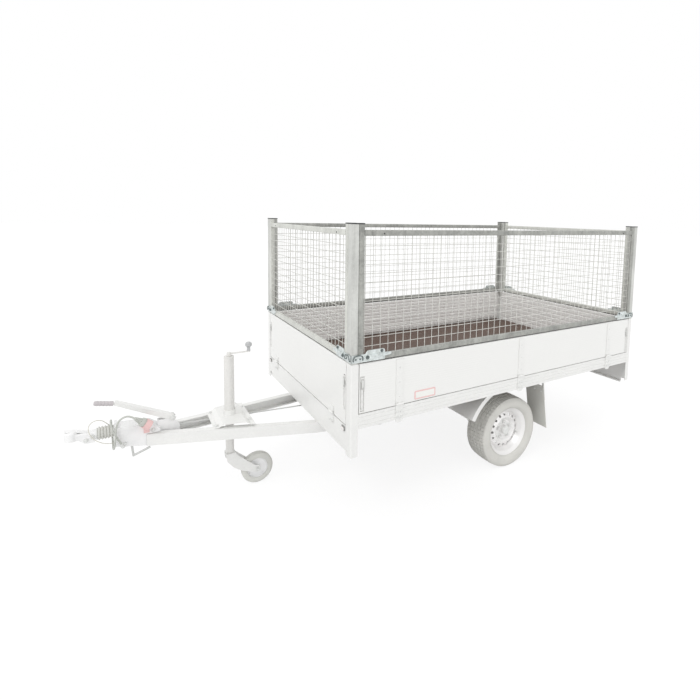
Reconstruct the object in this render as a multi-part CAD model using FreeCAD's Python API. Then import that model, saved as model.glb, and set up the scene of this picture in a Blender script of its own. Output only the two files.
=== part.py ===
import FreeCAD, Part
import math
import os

os.makedirs("parts", exist_ok=True)
Vector = FreeCAD.Vector

# Utility trailer with drop boards and a removable mesh cage, standing on its two wheels and its jockey wheel.
# Millimetres. X points forward to the coupling, Y to the left, Z up from the ground. The shapes are drawn
# about the middle of the bed, and are moved at the end so that X is measured from the middle of the whole.

# Clearances
seat = 0.3             # between pieces that are bolted or laid together
swing = 5.0            # between pieces that move past each other
pin_play = 0.05        # radial play of a pin in its bore

# Bed
bed_length = 2560.0
bed_width = 1580.0
board_top = 960.0
board_thickness = 25.0
side_board_bottom = 682.0
end_board_bottom = 606.0
rail_height = 83.0
rail_depth = 45.0
rail_web = 4.0
rail_groove = 2.5
rail_bead_width = 18.0
rail_bead_height = 16.0
floor_top = 655.0
floor_thickness = 15.0
post_width = 60.0      # of the corner posts, across the trailer
post_depth = 45.0      # along the trailer
post_bottom = 437.0
post_wall = 4.0
beam_drop = 115.0      # height of the front beam's face
beam_lip = 40.0
rear_beam_drop = 190.0
beam_plate = 3.0
beam_depth = 32.0

# Boards' hinges and latches
strap_width = 47.0
strap_plate = 5.0
strap_reach = 975.0    # from the middle of a side board to its outer straps
end_hinge_reach = 540.0
end_leaf_height = 38.0
end_leaf_drop = 50.0   # of the end leaves below the beams' tops
hinge_radius = 7.0
hinge_offset = 9.0     # from a board's outer face to its hinge axis
hinge_rise = 8.0       # from a board's lower edge to its hinge axis
hinge_pin_radius = 4.0
knuckle_length = 18.0
leaf_tail = 14.0       # of the side leaves below the rail
latch_width = 24.0
latch_height = 200.0
latch_depth = 8.0
latch_bottom = 688.0
latch_inset = 18.0     # from the board's end to the middle of its latch

# Mesh cage
cage_height = 757.0    # of the cage posts above the boards
cage_post_width = 60.0
cage_post_depth = 40.0
cage_post_wall = 3.0
cap_height = 6.0
panel_lift = 8.0       # of the panels above the boards
panel_drop = 30.0      # from the posts' tops to the panels' tops
panel_tube_height = 32.0
panel_tube_depth = 25.0
mesh_pitch = 50.0
wire = 3.0
wire_gap = 0.5
fitting_plate = 2.7
fitting_height = 62.0
fitting_long_arm = 208.0
fitting_short_arm = 195.0
fitting_lever_start = 60.0
fitting_lever_width = 12.0
fitting_lever_past = 40.0   # of a locking lever beyond its arm
fitting_lever_rise = 40.0   # from the fitting's foot to a lever's upper edge

# Running gear
wheel_radius = 250.0
tyre_width = 195.0
tyre_shoulder_drop = 10.0
tyre_shoulder_inset = 12.0
tyre_tread_inset = 24.0
rim_flange_radius = 169.0
rim_seat_radius = 152.5
rim_half_width = 76.0
rim_plate = 4.0
rim_well_depth = 18.0
rim_well_reach = 24.0
rim_crown = 92.0
rim_crown_rise = 20.0
wheel_x = 0.0
wheel_track = 1248.0
disc_offset = 22.0
disc_flat = 70.0
vent_holes = 16
vent_radius = 9.0
vent_circle = 112.0
wheel_bolts = 5
bolt_circle = 56.0
bolt_radius = 10.0
bolt_height = 22.0
hub_radius = 31.0
hub_height = 30.0
drum_radius = 100.0
drum_length = 78.0
drum_end_wall = 14.0
stub_radius = 15.0
axle_x = 170.0
axle_z = 330.0
axle_tube = 60.0
arm_plate = 24.0
hub_eye_radius = 42.0
tube_eye_radius = 48.0
hub_boss_radius = 34.0
guard_x = 69.0         # middle of the mudguard's arc
guard_z = 276.0
guard_radius = 359.0
guard_plate = 2.5
guard_edge = 30.0      # width of its turned edge
guard_width = 228.0
guard_front_angle = 27.0
guard_rear_angle = 96.0
flap_top_x = -284.0    # the flap leans: its foot is further back
flap_foot_x = -336.0
flap_plate = 5.0
flap_bottom = 222.0
flap_top = 548.0
flap_width = 175.0
hanger_plate = 5.0
hanger_width = 18.0

# Under the floor
member_positions = (450.0, -380.0, -820.0)
member_height = 60.0
member_width = 40.0
deep_member_setback = 380.0   # from the bed's front
deep_member_reach = 480.0
runner_y = 460.0
runner_height = 60.0
runner_width = 40.0

# Drawbar
leg_height = 68.0
leg_width = 44.0
leg_wall = 4.0
leg_y_at_bed = 285.0   # outer face of a leg under the front of the bed
leg_slope = 0.247      # how fast the legs close in, per millimetre forward
leg_rise = 0.052       # how fast they climb in front of the bed
leg_setback = 420.0    # of a leg's rear end behind the bed's front
leg_reach = 925.0      # of a leg's front end in front of the bed
cheek_length = 70.0    # of the housing's cheeks behind the legs' front ends
housing_nose = 152.0   # of the housing in front of the legs' front ends
bracket_length = 105.0 # of the lever's bracket behind the cheeks
housing_half_width = 50.0
housing_top = 560.0
flange_thickness = 14.0
flange_overhang = 8.0
flange_bottom = 462.0
draw_z = 531.0
bellows_radius = 37.0
bellows_length = 84.0
bellows_ribs = 5
draw_radius = 20.0
nose_reach = 1305.0    # of the coupling's nose in front of the bed
ball_radius = 25.5
ball_wall = 5.5
socket_depth = 32.0
head_rise = 13.0       # of the ball's bowl above the head's rear part
head_depth = 24.0      # of the bowl's rim below the draw tube's axis, before that rise
head_top = 20.0
handle_half_width = 15.0
pivot_setback = 66.0   # of the lever's pin behind the cheeks
lever_pivot_z = 550.0
lever_pin_radius = 6.0
lever_angle = 26.0
lever_length = 315.0
lever_height = 30.0
lever_width = 44.0
lever_heel = 20.0
grip_length = 92.0
grip_radius = 14.0
grip_rise = 15.0
tang_radius = 8.0
tang_bare = 18.0       # of the tang behind the grip
brake_rod_y = -45.0
brake_rod_radius = 4.0
hook_radius = 6.0
hook_drop = 82.0       # of the guide hook's bend below the flange's foot
hook_bend_setback = 86.0
hook_length = 84.0
hook_rise = 30.0
rod_lug_bottom = 464.0
lever_bracket_width = 34.0

# Jockey wheel
jockey_reach = 465.0   # in front of the bed
jockey_tube_radius = 30.0
jockey_tube_top = 868.0
jockey_tube_bottom = 492.0
jockey_inner_length = 165.0   # of the inner tube inside the outer one as it parks
jockey_inner_radius = 25.0
jockey_head_z = 245.0
jockey_head_plate = 10.0
jockey_pivot_radius = 8.0
jockey_trail = 167.0
jockey_wheel_radius = 100.0
jockey_wheel_width = 48.0
jockey_axle_radius = 6.0
jockey_rim_radius = 63.7
jockey_tyre_waist = 80.0
jockey_hub_radius = 18.0
fork_plate = 5.0
bridge_top = 496.0
bridge_foot = 115.0    # half the bridge's length along the drawbar
bridge_knee = 90.0
bridge_crest = 64.0
bridge_plate = 4.0
bridge_margin = 12.0   # of the bridge inside the legs' outer faces
collar_height = 32.0
crank_reach = 120.0

# Lamps and plate
lamp_length = 230.0
lamp_height = 104.0
lamp_depth = 6.0
lamp_drop = 56.0       # from the beam's top
lamp_inset = 30.0      # from the corner post
marker_length = 40.0
marker_height = 26.0
marker_depth = 12.0
plate_length = 520.0
plate_height = 115.0
plate_drop = 25.0

# Cables, each a list of points on its route, chosen by eye
cable_radius = 5.0
cable_route = ((2328, 66, 472), (2340, 73, 500), (2354, 76, 532), (2368, 66, 564), (2373, 38, 584),
               (2374, 2, 588), (2373, -36, 581), (2372, -66, 556), (2371, -78, 518), (2369, -70, 478),
               (2367, -44, 446), (2366, -6, 431), (2364, 34, 435), (2361, 66, 456), (2357, 86, 488),
               (2354, 93, 524), (2352, 93, 560), (2347, 91, 592), (2334, 88, 617), (2310, 86, 631),
               (2283, 85, 629), (2262, 84, 612))
rope_radius = 2.0
rope_route = ((2357, 36, 474), (2376, 36, 474), (2400, 43, 482), (2428, 47, 498), (2453, 46, 521),
              (2470, 41, 548), (2478, 30, 576), (2470, 15, 598), (2448, 0, 606), (2424, -15, 599),
              (2405, -29, 582), (2391, -40, 561), (2375, -47, 543), (2357, -47, 543))
gland_length = 26.0
plug_radius = 23.0
plug_length = 46.0
boot_length = 40.0
holder_radius = 27.0
holder_length = 34.0


def box(x0, x1, y0, y1, z0, z1):
    return Part.makeBox(x1 - x0, y1 - y0, z1 - z0, Vector(x0, y0, z0))


def rod(start, end, radius):
    run = end - start
    return Part.makeCylinder(radius, run.Length, start, run)


def prism(points, run):
    wire_loop = Part.makePolygon(points + [points[0]])
    return Part.Face(wire_loop).extrude(run)


def outline_prism(edges, run):
    return Part.Face(Part.Wire(edges)).extrude(run)


def fuse(shapes):
    return shapes[0].multiFuse(shapes[1:]).removeSplitter() if len(shapes) > 1 else shapes[0]


def mirror_y(shape):
    return shape.mirror(Vector(0, 0, 0), Vector(0, 1, 0))


def both_sides(shape):
    return [shape, mirror_y(shape)]


def turned(shape, degrees):
    copy = shape.copy()
    copy.rotate(Vector(0, 0, 0), Vector(0, 0, 1), degrees)
    return copy


half_length = bed_length / 2
half_width = bed_width / 2
nose_x = half_length + nose_reach
tail_x = -half_length - hinge_offset - hinge_radius
middle_x = (nose_x + tail_x) / 2
wheel_y = wheel_track / 2
wheel_z = wheel_radius
rail_top = side_board_bottom - swing
rail_bottom = rail_top - rail_height
floor_bottom = floor_top - floor_thickness
beam_top = end_board_bottom - swing - 1
deep_member_x = half_length - deep_member_setback
leg_rear_x = half_length - leg_setback
leg_front_x = half_length + leg_reach
cheek_rear_x = leg_front_x - cheek_length
housing_rear_x = cheek_rear_x - bracket_length
housing_front_x = leg_front_x + housing_nose
lever_pivot_x = cheek_rear_x - pivot_setback
jockey_x = half_length + jockey_reach


def save(name, shapes):
    whole = shapes[0] if len(shapes) == 1 else Part.makeCompound(shapes)
    whole = whole.copy()
    whole.translate(Vector(-middle_x, 0, 0))
    whole.exportStep("parts/" + name + ".step")


# The bed's frame

def side_rail():
    """Left rail: an open profile with a top bead, a ledge for the floor and a lower flange."""
    outer = half_width
    inner_web = outer - rail_web
    bead_inner = outer - rail_bead_width
    flange_inner = outer - rail_depth + 10
    ledge_inner = outer - rail_depth
    bead_bottom = rail_top - rail_bead_height
    outline = [(outer, rail_bottom)]
    for share in (0.22, 0.5, 0.78):
        level = rail_bottom + share * rail_height
        outline += [(outer, level - 3), (outer - rail_groove, level - 1.5)]
        outline += [(outer - rail_groove, level + 1.5), (outer, level + 3)]
    ledge = floor_bottom - seat
    outline += [(outer, rail_top), (bead_inner, rail_top), (bead_inner, bead_bottom),
                (inner_web, bead_bottom), (inner_web, ledge), (ledge_inner, ledge),
                (ledge_inner, ledge - rail_web),
                (inner_web, ledge - rail_web), (inner_web, rail_bottom + rail_web),
                (flange_inner, rail_bottom + rail_web), (flange_inner, rail_bottom)]
    length = bed_length - 2 * post_depth - 2 * seat
    points = [Vector(-length / 2, y, z) for y, z in outline]
    return prism(points, Vector(length, 0, 0))


def end_beam(drop, lip):
    """Beam across the front: ledge under the board, inner web up to the floor, face, and a lip set back."""
    face = half_length
    web = half_length - beam_depth
    bottom = beam_top - drop
    plate = beam_plate
    ledge = floor_bottom - seat
    outline = [(face, beam_top), (web, beam_top), (web, ledge), (web - beam_depth, ledge),
               (web - beam_depth, ledge - plate), (web - plate, ledge - plate),
               (web - plate, beam_top - plate), (face - plate, beam_top - plate),
               (face - plate, bottom + plate), (face - 4 * plate, bottom + plate),
               (face - 4 * plate, bottom - lip), (face - 3 * plate, bottom - lip),
               (face - 3 * plate, bottom), (face, bottom)]
    reach = half_width - post_width - seat
    points = [Vector(x, -reach, z) for x, z in outline]
    return prism(points, Vector(0, 2 * reach, 0))


def corner_post():
    """Front left post: a folded open channel, its mouth inward, with a rounded outer corner."""
    x1 = half_length
    x0 = x1 - post_depth
    y1 = half_width
    y0 = y1 - post_width
    body = box(x0, x1, y0, y1, post_bottom, board_top)
    outer_edges = [e for e in body.Edges if e.Length > 400
                   and abs(e.Vertexes[0].X - x1) < 1 and abs(e.Vertexes[0].Y - y1) < 1]
    body = body.makeFillet(2 * post_wall, outer_edges)
    mouth = box(x0 - 1, x1 - post_wall, y0 - 1, y1 - post_wall, post_bottom - 1, board_top - post_wall)
    return body.cut(mouth)


def four_corners(shape):
    left = [shape, shape.mirror(Vector(0, 0, 0), Vector(1, 0, 0))]
    return left + [mirror_y(s) for s in left]


def floor_panel():
    end = half_length - board_thickness - swing
    side = half_width - rail_web - seat
    panel = box(-end, end, -side, side, floor_bottom, floor_top)
    notch_x = half_length - post_depth - seat
    notch_y = half_width - post_width - seat
    for sx in (-1, 1):
        for sy in (-1, 1):
            x0, x1 = sorted((sx * notch_x, sx * (half_length + 1)))
            y0, y1 = sorted((sy * notch_y, sy * (half_width + 1)))
            panel = panel.cut(box(x0, x1, y0, y1, floor_bottom - 1, floor_top + 1))
    return panel


def channel_member(x, reach, bottom, top, width):
    """A member across the bed: a channel with its mouth downward."""
    wall = 4.0
    outer = box(x - width / 2, x + width / 2, -reach, reach, bottom, top)
    inner = box(x - width / 2 + wall, x + width / 2 - wall, -reach - 1, reach + 1, bottom - 1, top - wall)
    return outer.cut(inner)


def cross_members():
    reach = half_width - rail_depth - seat
    top = floor_bottom - seat
    members = []
    for x in member_positions:
        members.append(channel_member(x, reach, top - member_height, top, member_width))
    foot = leg_top_at(deep_member_x) + seat
    members.append(channel_member(deep_member_x, deep_member_reach, foot, top, member_width))
    return members


def runners():
    top = floor_bottom - 2 * seat - member_height
    front = deep_member_x - member_width / 2 - seat
    rear = -half_length + 2 * beam_depth + seat
    inside = runner_y - runner_width / 2
    outside = runner_y + runner_width / 2
    wall = 4.0
    outer = box(rear, front, inside, outside, top - runner_height, top)
    inner = box(rear - 1, front + 1, inside - 1, outside - wall, top - runner_height + wall, top - wall)
    return both_sides(outer.cut(inner))


# Boards, each drawn facing left (outward is +Y) and turned to its side

side_reach = half_length - post_depth - swing
end_reach = half_width - post_width - swing
side_hinges = (-strap_reach, 0.0, strap_reach)
end_hinges = (-end_hinge_reach, end_hinge_reach)
board_sides = (("left", 0, half_width, side_reach, side_board_bottom, side_hinges, False),
               ("front", -90, half_length, end_reach, end_board_bottom, end_hinges, True),
               ("right", 180, half_width, side_reach, side_board_bottom, side_hinges, False),
               ("rear", 90, half_length, end_reach, end_board_bottom, end_hinges, True))


def board(outer, reach, bottom):
    """Board with a smooth outer face, a rounded top and ribs pressed along its inner face."""
    inner = outer - board_thickness
    rib = 2.0
    count = 8
    outline = [(outer, bottom), (outer, board_top - 6), (outer - 4, board_top), (inner + 4, board_top),
               (inner, board_top - 6)]
    step = (board_top - 30 - bottom) / count
    for i in range(count):
        level = board_top - 22 - i * step
        outline += [(inner, level), (inner + rib, level - 4)]
        outline += [(inner + rib, level - 10), (inner, level - 14)]
    outline.append((inner, bottom))
    solid = prism([Vector(-reach, y, z) for y, z in outline], Vector(2 * reach, 0, 0))
    for side in (-1, 1):
        middle = side * (reach - latch_inset)
        solid = solid.cut(box(middle - latch_width / 2, middle + latch_width / 2, outer - latch_depth,
                              outer + 1, latch_bottom, latch_bottom + latch_height))
    return solid


def board_fittings(outer, reach, bottom, hinges, short):
    """Hinge straps with their middle knuckles, and the latch bars in their channels."""
    pieces = []
    axis_y = outer + hinge_offset
    axis_z = bottom + hinge_rise
    top = bottom + hinge_rise + end_leaf_height if short else board_top - 8
    for x in hinges:
        plate = box(x - strap_width / 2, x + strap_width / 2, outer + seat, outer + strap_plate,
                    axis_z + hinge_radius + 1, top)
        neck = box(x - knuckle_length / 2, x + knuckle_length / 2, outer + seat, outer + strap_plate,
                   axis_z, top)
        knuckle = rod(Vector(x - knuckle_length / 2, axis_y, axis_z),
                      Vector(x + knuckle_length / 2, axis_y, axis_z), hinge_radius)
        hole = rod(Vector(x - knuckle_length, axis_y, axis_z), Vector(x + knuckle_length, axis_y, axis_z),
                   hinge_pin_radius + pin_play)
        pieces.append(fuse([plate, neck, knuckle]).cut(hole))
    for side in (-1, 1):
        middle = side * (reach - latch_inset)
        channel_floor = outer - latch_depth + seat
        channel_top = latch_bottom + latch_height
        bar = box(middle - latch_width / 4, middle + latch_width / 4, channel_floor, outer - 2,
                  latch_bottom + 10, channel_top - 30)
        handle = box(middle - latch_width / 2 + 3, middle + latch_width / 2 - 3, channel_floor, outer + 3,
                     channel_top - 34, channel_top - 6)
        pieces.append(fuse([bar, handle]))
    return pieces


def hinge_leaf(x, outer, bottom, leaf_bottom):
    """Leaf bolted to the frame, with two knuckles, the hinge pin and a rounded tail to tie a rope to."""
    axis_y = outer + hinge_offset
    axis_z = bottom + hinge_rise
    gap = 0.5
    plate = box(x - strap_width / 2, x + strap_width / 2, outer + seat, outer + strap_plate,
                leaf_bottom, axis_z - hinge_radius - 1)
    tail_corners = [e for e in plate.Edges if abs(e.Vertexes[0].Z - leaf_bottom) < 0.01
                    and abs(e.Vertexes[-1].Z - leaf_bottom) < 0.01
                    and abs(e.Length - strap_plate + seat) < 0.01]
    shapes = [plate.makeFillet(leaf_tail * 0.8, tail_corners)]
    for side in (-1, 1):
        near = side * (knuckle_length / 2 + gap)
        far = side * strap_width / 2
        shapes.append(rod(Vector(x + min(near, far), axis_y, axis_z),
                          Vector(x + max(near, far), axis_y, axis_z), hinge_radius))
        x0, x1 = sorted((x + near, x + far))
        shapes.append(box(x0, x1, outer + 2, outer + strap_plate, axis_z - hinge_radius - 2, axis_z))
    shapes.append(rod(Vector(x - strap_width / 2, axis_y, axis_z),
                      Vector(x + strap_width / 2, axis_y, axis_z), hinge_pin_radius))
    return fuse(shapes)


# Mesh cage

def cage_post():
    x1 = half_length
    y1 = half_width
    outer = box(x1 - cage_post_depth, x1, y1 - cage_post_width, y1, board_top, board_top + cage_height)
    outer = outer.makeFillet(6, [e for e in outer.Edges if e.Length > 400])
    inner = box(x1 - cage_post_depth + cage_post_wall, x1 - cage_post_wall,
                y1 - cage_post_width + cage_post_wall, y1 - cage_post_wall,
                board_top + 10, board_top + cage_height + 1)
    return outer.cut(inner)


def cap_on(x0, x1, y0, y1):
    top = board_top + cage_height + seat
    cap = box(x0, x1, y0, y1, top, top + cap_height)
    return cap.makeFillet(5, [e for e in cap.Edges if abs(e.Vertexes[0].Z - e.Vertexes[-1].Z) > 1])


def post_cap():
    x1 = half_length
    y1 = half_width
    return cap_on(x1 - cage_post_depth, x1 + 1, y1 - cage_post_width, y1 + 1)


def stile_caps():
    """Caps on the ends of the two panels that meet at the front left post."""
    x1 = half_length
    y1 = half_width
    side_end = x1 - cage_post_depth - 2 * seat
    front_end = y1 - cage_post_width - 2 * seat
    side = cap_on(side_end - panel_tube_height - 1, side_end, y1 - panel_tube_depth - 1, y1 + 1)
    front = cap_on(x1 - panel_tube_depth - 1, x1 + 1, front_end - panel_tube_height - 1, front_end)
    return [side, front]


def mesh_panel(outer, reach):
    """Frame of tube, its stiles as tall as the posts, with the level wires welded inside the uprights."""
    bottom = board_top + panel_lift
    top = board_top + cage_height - panel_drop
    stile_top = board_top + cage_height
    height = panel_tube_height
    inner = outer - panel_tube_depth
    frame = box(-reach, reach, inner, outer, bottom, stile_top)
    inside = reach - height
    frame = frame.cut(box(-inside, inside, inner - 1, outer + 1, bottom + height, top - height))
    frame = frame.cut(box(-inside, inside, inner - 1, outer + 1, top, stile_top + 1))
    wires = []
    middle_y = outer - panel_tube_depth / 2
    upright_y = middle_y + wire_gap / 2
    level_y = middle_y - wire_gap / 2 - wire
    count = int((reach - height) / mesh_pitch)
    for i in range(-count, count + 1):
        x = i * mesh_pitch
        if abs(x) > reach - height - wire:
            continue
        wires.append(box(x - wire / 2, x + wire / 2, upright_y, upright_y + wire,
                         bottom + height - 1, top - height + 1))
    level = bottom + height + mesh_pitch
    while level < top - height - mesh_pitch / 2:
        wires.append(box(-reach + height - 1, reach - height + 1, level_y, level_y + wire,
                         level - wire / 2, level + wire / 2))
        level += mesh_pitch
    return frame.multiFuse(wires)


def corner_fitting():
    """Angle plate that ties two panels at a corner post, with a locking lever along each arm."""
    plate = fitting_plate
    x1 = half_length + seat + plate
    y1 = half_width + seat + plate
    bottom = board_top + panel_lift + 1
    top = bottom + fitting_height
    lever_top = bottom + fitting_lever_rise
    lever_bottom = lever_top - fitting_lever_width
    long_arm = box(x1 - fitting_long_arm, x1, y1 - plate, y1, bottom, top)
    short_arm = box(x1 - plate, x1, y1 - fitting_short_arm, y1, bottom, top)
    long_lever = box(x1 - fitting_long_arm - fitting_lever_past, x1 - fitting_lever_start,
                     y1 - plate, y1 + 4, lever_bottom, lever_top)
    short_lever = box(x1 - plate, x1 + 4, y1 - fitting_short_arm - fitting_lever_past,
                      y1 - fitting_lever_start, lever_bottom, lever_top)
    return fuse([long_arm, short_arm, long_lever, short_lever])


# Running gear

def revolve_about_wheel(profile_edges, degrees=360):
    face = Part.Face(Part.Wire(profile_edges))
    return face.revolve(Vector(wheel_x, 0, wheel_z), Vector(0, 1, 0), degrees)


def radial(radius, y):
    """A point of a wheel's profile, at a radius above the hub and a distance outward from its middle."""
    return Vector(wheel_x, wheel_y + y, wheel_z + radius)


def polyline(points):
    closed = points + [points[0]]
    return [Part.LineSegment(a, b).toShape() for a, b in zip(closed, closed[1:])]


def tyre():
    """Tyre with flat-sided walls: bead, widest point, shoulder and tread, few faces because it repeats."""
    half = tyre_width / 2
    waist = (rim_flange_radius + wheel_radius) / 2
    shoulder = wheel_radius - tyre_shoulder_drop
    tread = half - tyre_tread_inset
    inner = rim_seat_radius + seat
    foot = rim_half_width - 4 * rim_plate - seat
    half_outline = [(inner, foot), (waist, half), (shoulder, half - tyre_shoulder_inset),
                    (wheel_radius, tread)]
    outline = half_outline + [(radius, -y) for radius, y in reversed(half_outline)]
    return revolve_about_wheel(polyline([radial(radius, y) for radius, y in outline]))


def rim():
    """Steel rim with its well, disc, vent holes and hub, and the brake drum behind the disc."""
    w = rim_half_width
    t = rim_plate
    well = rim_seat_radius - rim_well_depth
    bead_seat = rim_seat_radius
    flange = rim_flange_radius
    barrel = [(flange, -w), (flange, -w + t), (bead_seat, -w + 4 * t), (well, -rim_well_reach),
              (well, rim_well_reach), (bead_seat, w - 4 * t), (flange, w - t), (flange, w),
              (bead_seat - t, w - 5 * t), (well - t, rim_well_reach + 2), (well - t, -rim_well_reach - 2),
              (bead_seat - t, -w + 5 * t)]
    barrel_solid = revolve_about_wheel(polyline([radial(radius, y) for radius, y in barrel]))
    face = disc_offset
    crest = face + rim_crown_rise
    disc_foot = face - 2
    disc_edge = well - t + 1
    disc = [(0, face), (disc_flat, face), (rim_crown, crest), (disc_edge, disc_foot),
            (disc_edge, disc_foot - t), (rim_crown, crest - t), (disc_flat, face - t), (0, face - t)]
    disc_solid = revolve_about_wheel(polyline([radial(radius, y) for radius, y in disc]))
    for i in range(vent_holes):
        angle = 2 * math.pi * i / vent_holes
        centre = on_wheel(vent_circle * math.cos(angle), vent_circle * math.sin(angle), wheel_y - w)
        disc_solid = disc_solid.cut(rod(centre, centre + Vector(0, 2 * w, 0), vent_radius))
    hub_face = wheel_y + face
    hub = rod(on_wheel(0, 0, hub_face - t), on_wheel(0, 0, hub_face + hub_height), hub_radius)
    bolts = [hexagon_bolt(2 * math.pi * i / wheel_bolts, hub_face - t) for i in range(wheel_bolts)]
    drum = rod(on_wheel(0, 0, drum_back()), on_wheel(0, 0, hub_face - t + 1), drum_radius)
    bore = rod(on_wheel(0, 0, drum_back() - 1), on_wheel(0, 0, hub_face - t - drum_end_wall),
               stub_radius + pin_play)
    whole = fuse([barrel_solid, disc_solid, hub, drum] + bolts)
    return whole.cut(bore)


def on_wheel(x, z, y):
    """A point by its distances forward and up from the wheel's axis, and its place across the trailer."""
    return Vector(wheel_x + x, y, wheel_z + z)


def hexagon_bolt(angle, foot_y):
    centre = on_wheel(bolt_circle * math.sin(angle), bolt_circle * math.cos(angle), foot_y)
    corners = []
    for k in range(6):
        turn = k * math.pi / 3
        corners.append(centre + Vector(bolt_radius * math.cos(turn), 0, bolt_radius * math.sin(turn)))
    return prism(corners, Vector(0, bolt_height, 0))


def drum_back():
    """Y of the drum's inner face."""
    return wheel_y + disc_offset - rim_plate - drum_length


def trailing_arm():
    """Arm from the axle tube to the wheel's centre, with the backplate and the stub axle."""
    inner = wheel_y - tyre_width / 2 - swing - arm_plate
    outer = inner + arm_plate
    hub_eye = rod(on_wheel(0, 0, inner), on_wheel(0, 0, outer), hub_eye_radius)
    tube_eye = rod(Vector(axle_x, inner, axle_z), Vector(axle_x, outer, axle_z), tube_eye_radius)
    run = Vector(axle_x - wheel_x, 0, axle_z - wheel_z)
    across = Vector(-run.z, 0, run.x).normalize()
    start = on_wheel(0, 0, inner)
    end = Vector(axle_x, inner, axle_z)
    at_hub = across * (hub_eye_radius - 2)
    at_tube = across * (tube_eye_radius - 2)
    web = prism([start + at_hub, end + at_tube, end - at_tube, start - at_hub], Vector(0, arm_plate, 0))
    boss = rod(on_wheel(0, 0, outer), on_wheel(0, 0, drum_back() - 2), hub_boss_radius)
    backplate = rod(on_wheel(0, 0, drum_back() - 6), on_wheel(0, 0, drum_back() - 2), drum_radius + 4)
    stub = rod(on_wheel(0, 0, outer), on_wheel(0, 0, drum_back() + drum_length - 20), stub_radius)
    return fuse([hub_eye, tube_eye, web, boss, backplate, stub])


def axle_beam():
    reach = wheel_y - tyre_width / 2 - swing - arm_plate - seat
    half = axle_tube / 2
    tube = box(axle_x - half, axle_x + half, -reach, reach, axle_z - half, axle_z + half)
    return tube.makeFillet(8, [e for e in tube.Edges if e.Length > reach])


def axle_bracket():
    """Folded bracket from a runner down to the axle tube."""
    top = floor_bottom - 3 * seat - member_height - runner_height
    foot = axle_z + axle_tube / 2 + seat
    y0 = runner_y - runner_width / 2
    profile = [(-90, top), (150, top), (110, foot + 40), (60, foot), (-45, foot)]
    body = prism([Vector(axle_x + x, y0, z) for x, z in profile], Vector(0, runner_width, 0))
    pocket = box(axle_x - 200, axle_x + 300, y0 + 4, y0 + runner_width - 4, foot + 6, top - 6)
    return body.cut(pocket)


def guard():
    """Mudguard: a rolled sheet over the wheel's front quarter with a turned edge."""
    y1 = half_width - rail_depth + 10 - seat
    y0 = y1 - guard_width
    front = guard_front_angle
    rear = guard_rear_angle
    middle = (front + rear) / 2

    def at(radius, degrees, y):
        a = math.radians(degrees)
        return Vector(guard_x + radius * math.cos(a), y, guard_z + radius * math.sin(a))

    def arc_sheet(inner, low, high):
        outer = guard_radius
        edges = [Part.Arc(at(inner, front, low), at(inner, middle, low), at(inner, rear, low)).toShape(),
                 Part.LineSegment(at(inner, rear, low), at(outer, rear, low)).toShape(),
                 Part.Arc(at(outer, rear, low), at(outer, middle, low), at(outer, front, low)).toShape(),
                 Part.LineSegment(at(outer, front, low), at(inner, front, low)).toShape()]
        return outline_prism(edges, Vector(0, high - low, 0))
    sheet = arc_sheet(guard_radius - guard_plate, y0, y1)
    turned_edge = arc_sheet(guard_radius - guard_edge, y1 - guard_plate, y1)
    return fuse([sheet, turned_edge])


def leaning_plate(setback, plate, y0, y1, z0, z1):
    """Plate that leans as the flap does, its front face a distance behind the flap's middle."""
    lean = (flap_top_x - flap_foot_x) / (flap_top - flap_bottom)
    x0 = flap_foot_x + lean * (z0 - flap_bottom) - setback
    x1 = flap_foot_x + lean * (z1 - flap_bottom) - setback
    points = [Vector(x0, y0, z0), Vector(x1, y0, z1), Vector(x1 - plate, y0, z1), Vector(x0 - plate, y0, z0)]
    return prism(points, Vector(0, y1 - y0, 0))


def flap_hanger():
    y1 = half_width - rail_depth + 10
    setback = flap_plate / 2 + seat
    strip = leaning_plate(setback, hanger_plate, y1 - hanger_width, y1, flap_top - 108, rail_bottom - seat)
    bar = leaning_plate(setback, hanger_plate, y1 - flap_width, y1, flap_top - 60, flap_top - 30)
    return fuse([strip, bar])


def mudflap():
    y1 = half_width - rail_depth + 9
    return leaning_plate(-flap_plate / 2, flap_plate, y1 - flap_width, y1, flap_bottom, flap_top)


# Drawbar

def leg_top_at(x):
    """Height of a leg's top: level under the bed, climbing in front of it."""
    return beam_top - beam_drop - beam_lip - seat + max(0.0, x - half_length) * leg_rise


def leg_outer_at(x):
    return leg_y_at_bed - (x - half_length) * leg_slope


def drawbar_leg():
    """Left leg: a channel with its mouth inward, level under the bed and climbing in front of it."""
    def section(x):
        top = leg_top_at(x)
        bottom = top - leg_height
        y1 = leg_outer_at(x)
        y0 = y1 - leg_width
        w = leg_wall
        profile = [(y1, bottom), (y1, top), (y0, top), (y0, top - w), (y1 - w, top - w),
                   (y1 - w, bottom + w), (y0, bottom + w), (y0, bottom)]
        points = [Vector(x, y, z) for y, z in profile]
        return Part.Wire(Part.makePolygon(points + [points[0]]).Edges)
    rear = Part.makeLoft([section(leg_rear_x), section(half_length)], True, True)
    front = Part.makeLoft([section(half_length), section(leg_front_x)], True, True)
    return fuse([rear, front])


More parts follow.
